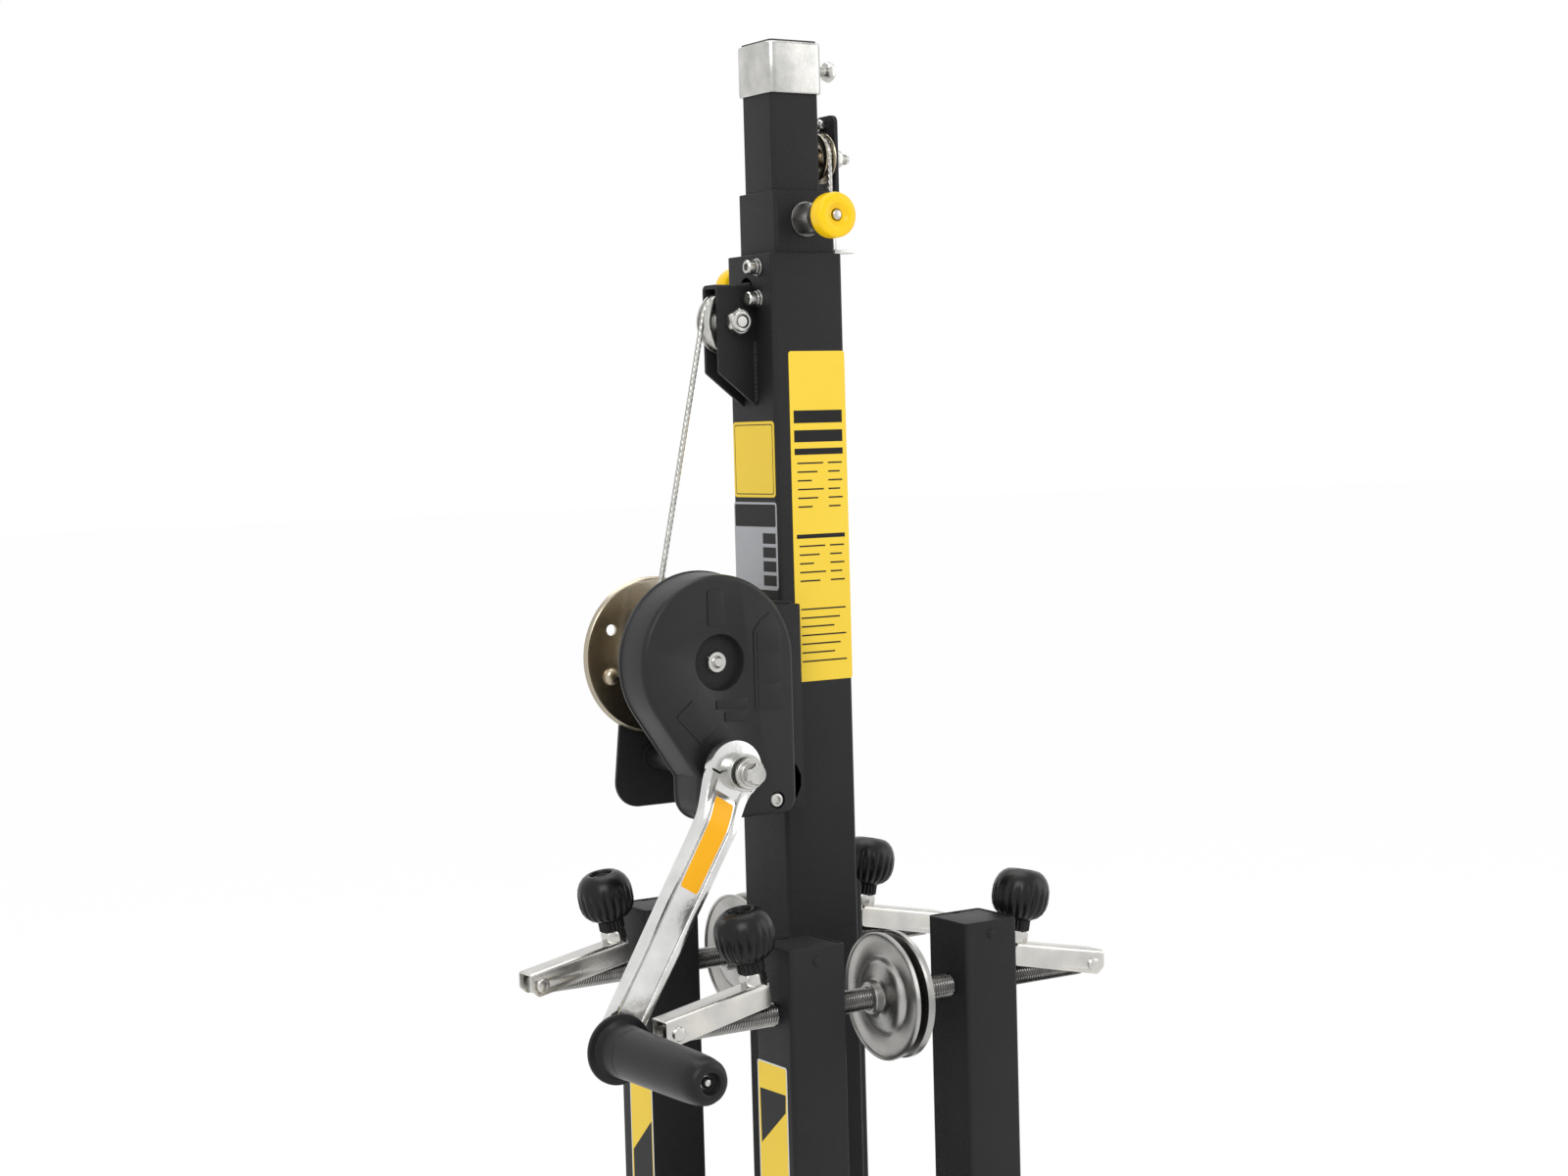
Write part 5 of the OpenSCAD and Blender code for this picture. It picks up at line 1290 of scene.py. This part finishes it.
def make_stage():
    mesh = bpy.data.meshes.new("floor")
    size = FLOOR_HALF
    bm = bmesh.new()
    verts = [bm.verts.new(p) for p in ((-size, -size, 0), (size, -size, 0), (size, size, 0),
                                       (-size, size, 0))]
    bm.faces.new(verts)
    bm.to_mesh(mesh)
    floor = bpy.data.objects.new("floor", mesh)
    scene.collection.objects.link(floor)
    mat = bpy.data.materials.new("floor_white")
    mat.use_nodes = True
    nodes, links = mat.node_tree.nodes, mat.node_tree.links
    bsdf = nodes["Principled BSDF"]
    bsdf.inputs["Base Color"].default_value = (0.9, 0.9, 0.9, 1)
    bsdf.inputs["Roughness"].default_value = 0.9
    bsdf.inputs["Specular IOR Level"].default_value = 0.1
    glow = nodes.new("ShaderNodeEmission")
    glow.inputs["Color"].default_value = (1, 1, 1, 1)
    mix = nodes.new("ShaderNodeMixShader")
    mix.inputs["Fac"].default_value = FLOOR_GLOW_SHARE
    glow.inputs["Strength"].default_value = FLOOR_GLOW
    links.new(bsdf.outputs["BSDF"], mix.inputs[1])
    links.new(glow.outputs["Emission"], mix.inputs[2])
    links.new(mix.outputs["Shader"], nodes["Material Output"].inputs["Surface"])
    mesh.materials.append(mat)


def make_world():
    world = bpy.data.worlds.new("studio")
    scene.world = world
    world.use_nodes = True
    nodes, links = world.node_tree.nodes, world.node_tree.links
    back = nodes["Background"]
    back.inputs["Color"].default_value = (1, 1, 1, 1)
    paths = nodes.new("ShaderNodeLightPath")
    add = nodes.new("ShaderNodeMath")
    add.operation = "MAXIMUM"
    also = nodes.new("ShaderNodeMath")
    also.operation = "MAXIMUM"
    level = nodes.new("ShaderNodeMapRange")
    level.inputs["To Min"].default_value = WORLD_LIGHT
    level.inputs["To Max"].default_value = 1.0
    links.new(paths.outputs["Is Camera Ray"], add.inputs[0])
    links.new(paths.outputs["Is Glossy Ray"], add.inputs[1])
    links.new(add.outputs[0], also.inputs[0])
    links.new(paths.outputs["Is Transmission Ray"], also.inputs[1])
    links.new(also.outputs[0], level.inputs["Value"])
    links.new(level.outputs["Result"], back.inputs["Strength"])


def area_light(name, place, size, power):
    data = bpy.data.lights.new(name, "AREA")
    data.energy = power
    data.size = size
    lamp = bpy.data.objects.new(name, data)
    lamp.location = place
    aim = Vector(LIGHT_TARGET) - Vector(place)
    lamp.rotation_euler = aim.to_track_quat("-Z", "Y").to_euler()
    scene.collection.objects.link(lamp)


def make_camera():
    az, el, roll = (math.radians(a) for a in CAMERA_ANGLES)
    back = Vector((math.sin(az) * math.cos(el), -math.cos(az) * math.cos(el), math.sin(el)))
    right = Vector((math.cos(az), math.sin(az), 0))
    up = back.cross(right)
    rolled = right * math.cos(roll) + up * math.sin(roll)
    upright = -right * math.sin(roll) + up * math.cos(roll)
    data = bpy.data.cameras.new("camera")
    data.lens = CAMERA_LENS
    data.sensor_width = SENSOR_WIDTH
    data.clip_end = CLIP_END
    camera = bpy.data.objects.new("camera", data)
    matrix = Matrix((rolled, upright, back)).transposed().to_4x4()
    matrix.translation = CAMERA_PLACE
    camera.matrix_world = matrix
    scene.collection.objects.link(camera)
    scene.camera = camera


dress_cad()
frame["nodes"]["crank_arm"].data.materials[0] = CAST
make_camera()
make_masts()
make_collar()
make_lock("outer_lock", "root", 0, OUTER_FACE, 1)
make_lock("mid_lock", "mid_section", MID_X, -MID_W / 2, -1)
make_pulley_bracket()
make_pulleys()
make_mast_hardware()
make_anchor()
make_mid_bracket()
make_ropes()
make_winch_frame()
make_gear_cover()
make_axle()
make_drum()
make_crank()
for leg_name, leg_side in LEGS.items():
    make_leg(leg_name, leg_side)
    make_foot(leg_name, leg_side)
    make_screw(leg_name, leg_side)
    make_arm(leg_name, leg_side)
    make_knob(leg_name, leg_side)
make_base()
make_labels()
make_stage()
make_world()
for light_name, light in LIGHTS.items():
    area_light(light_name, *light)

scene.view_settings.view_transform = "Standard"
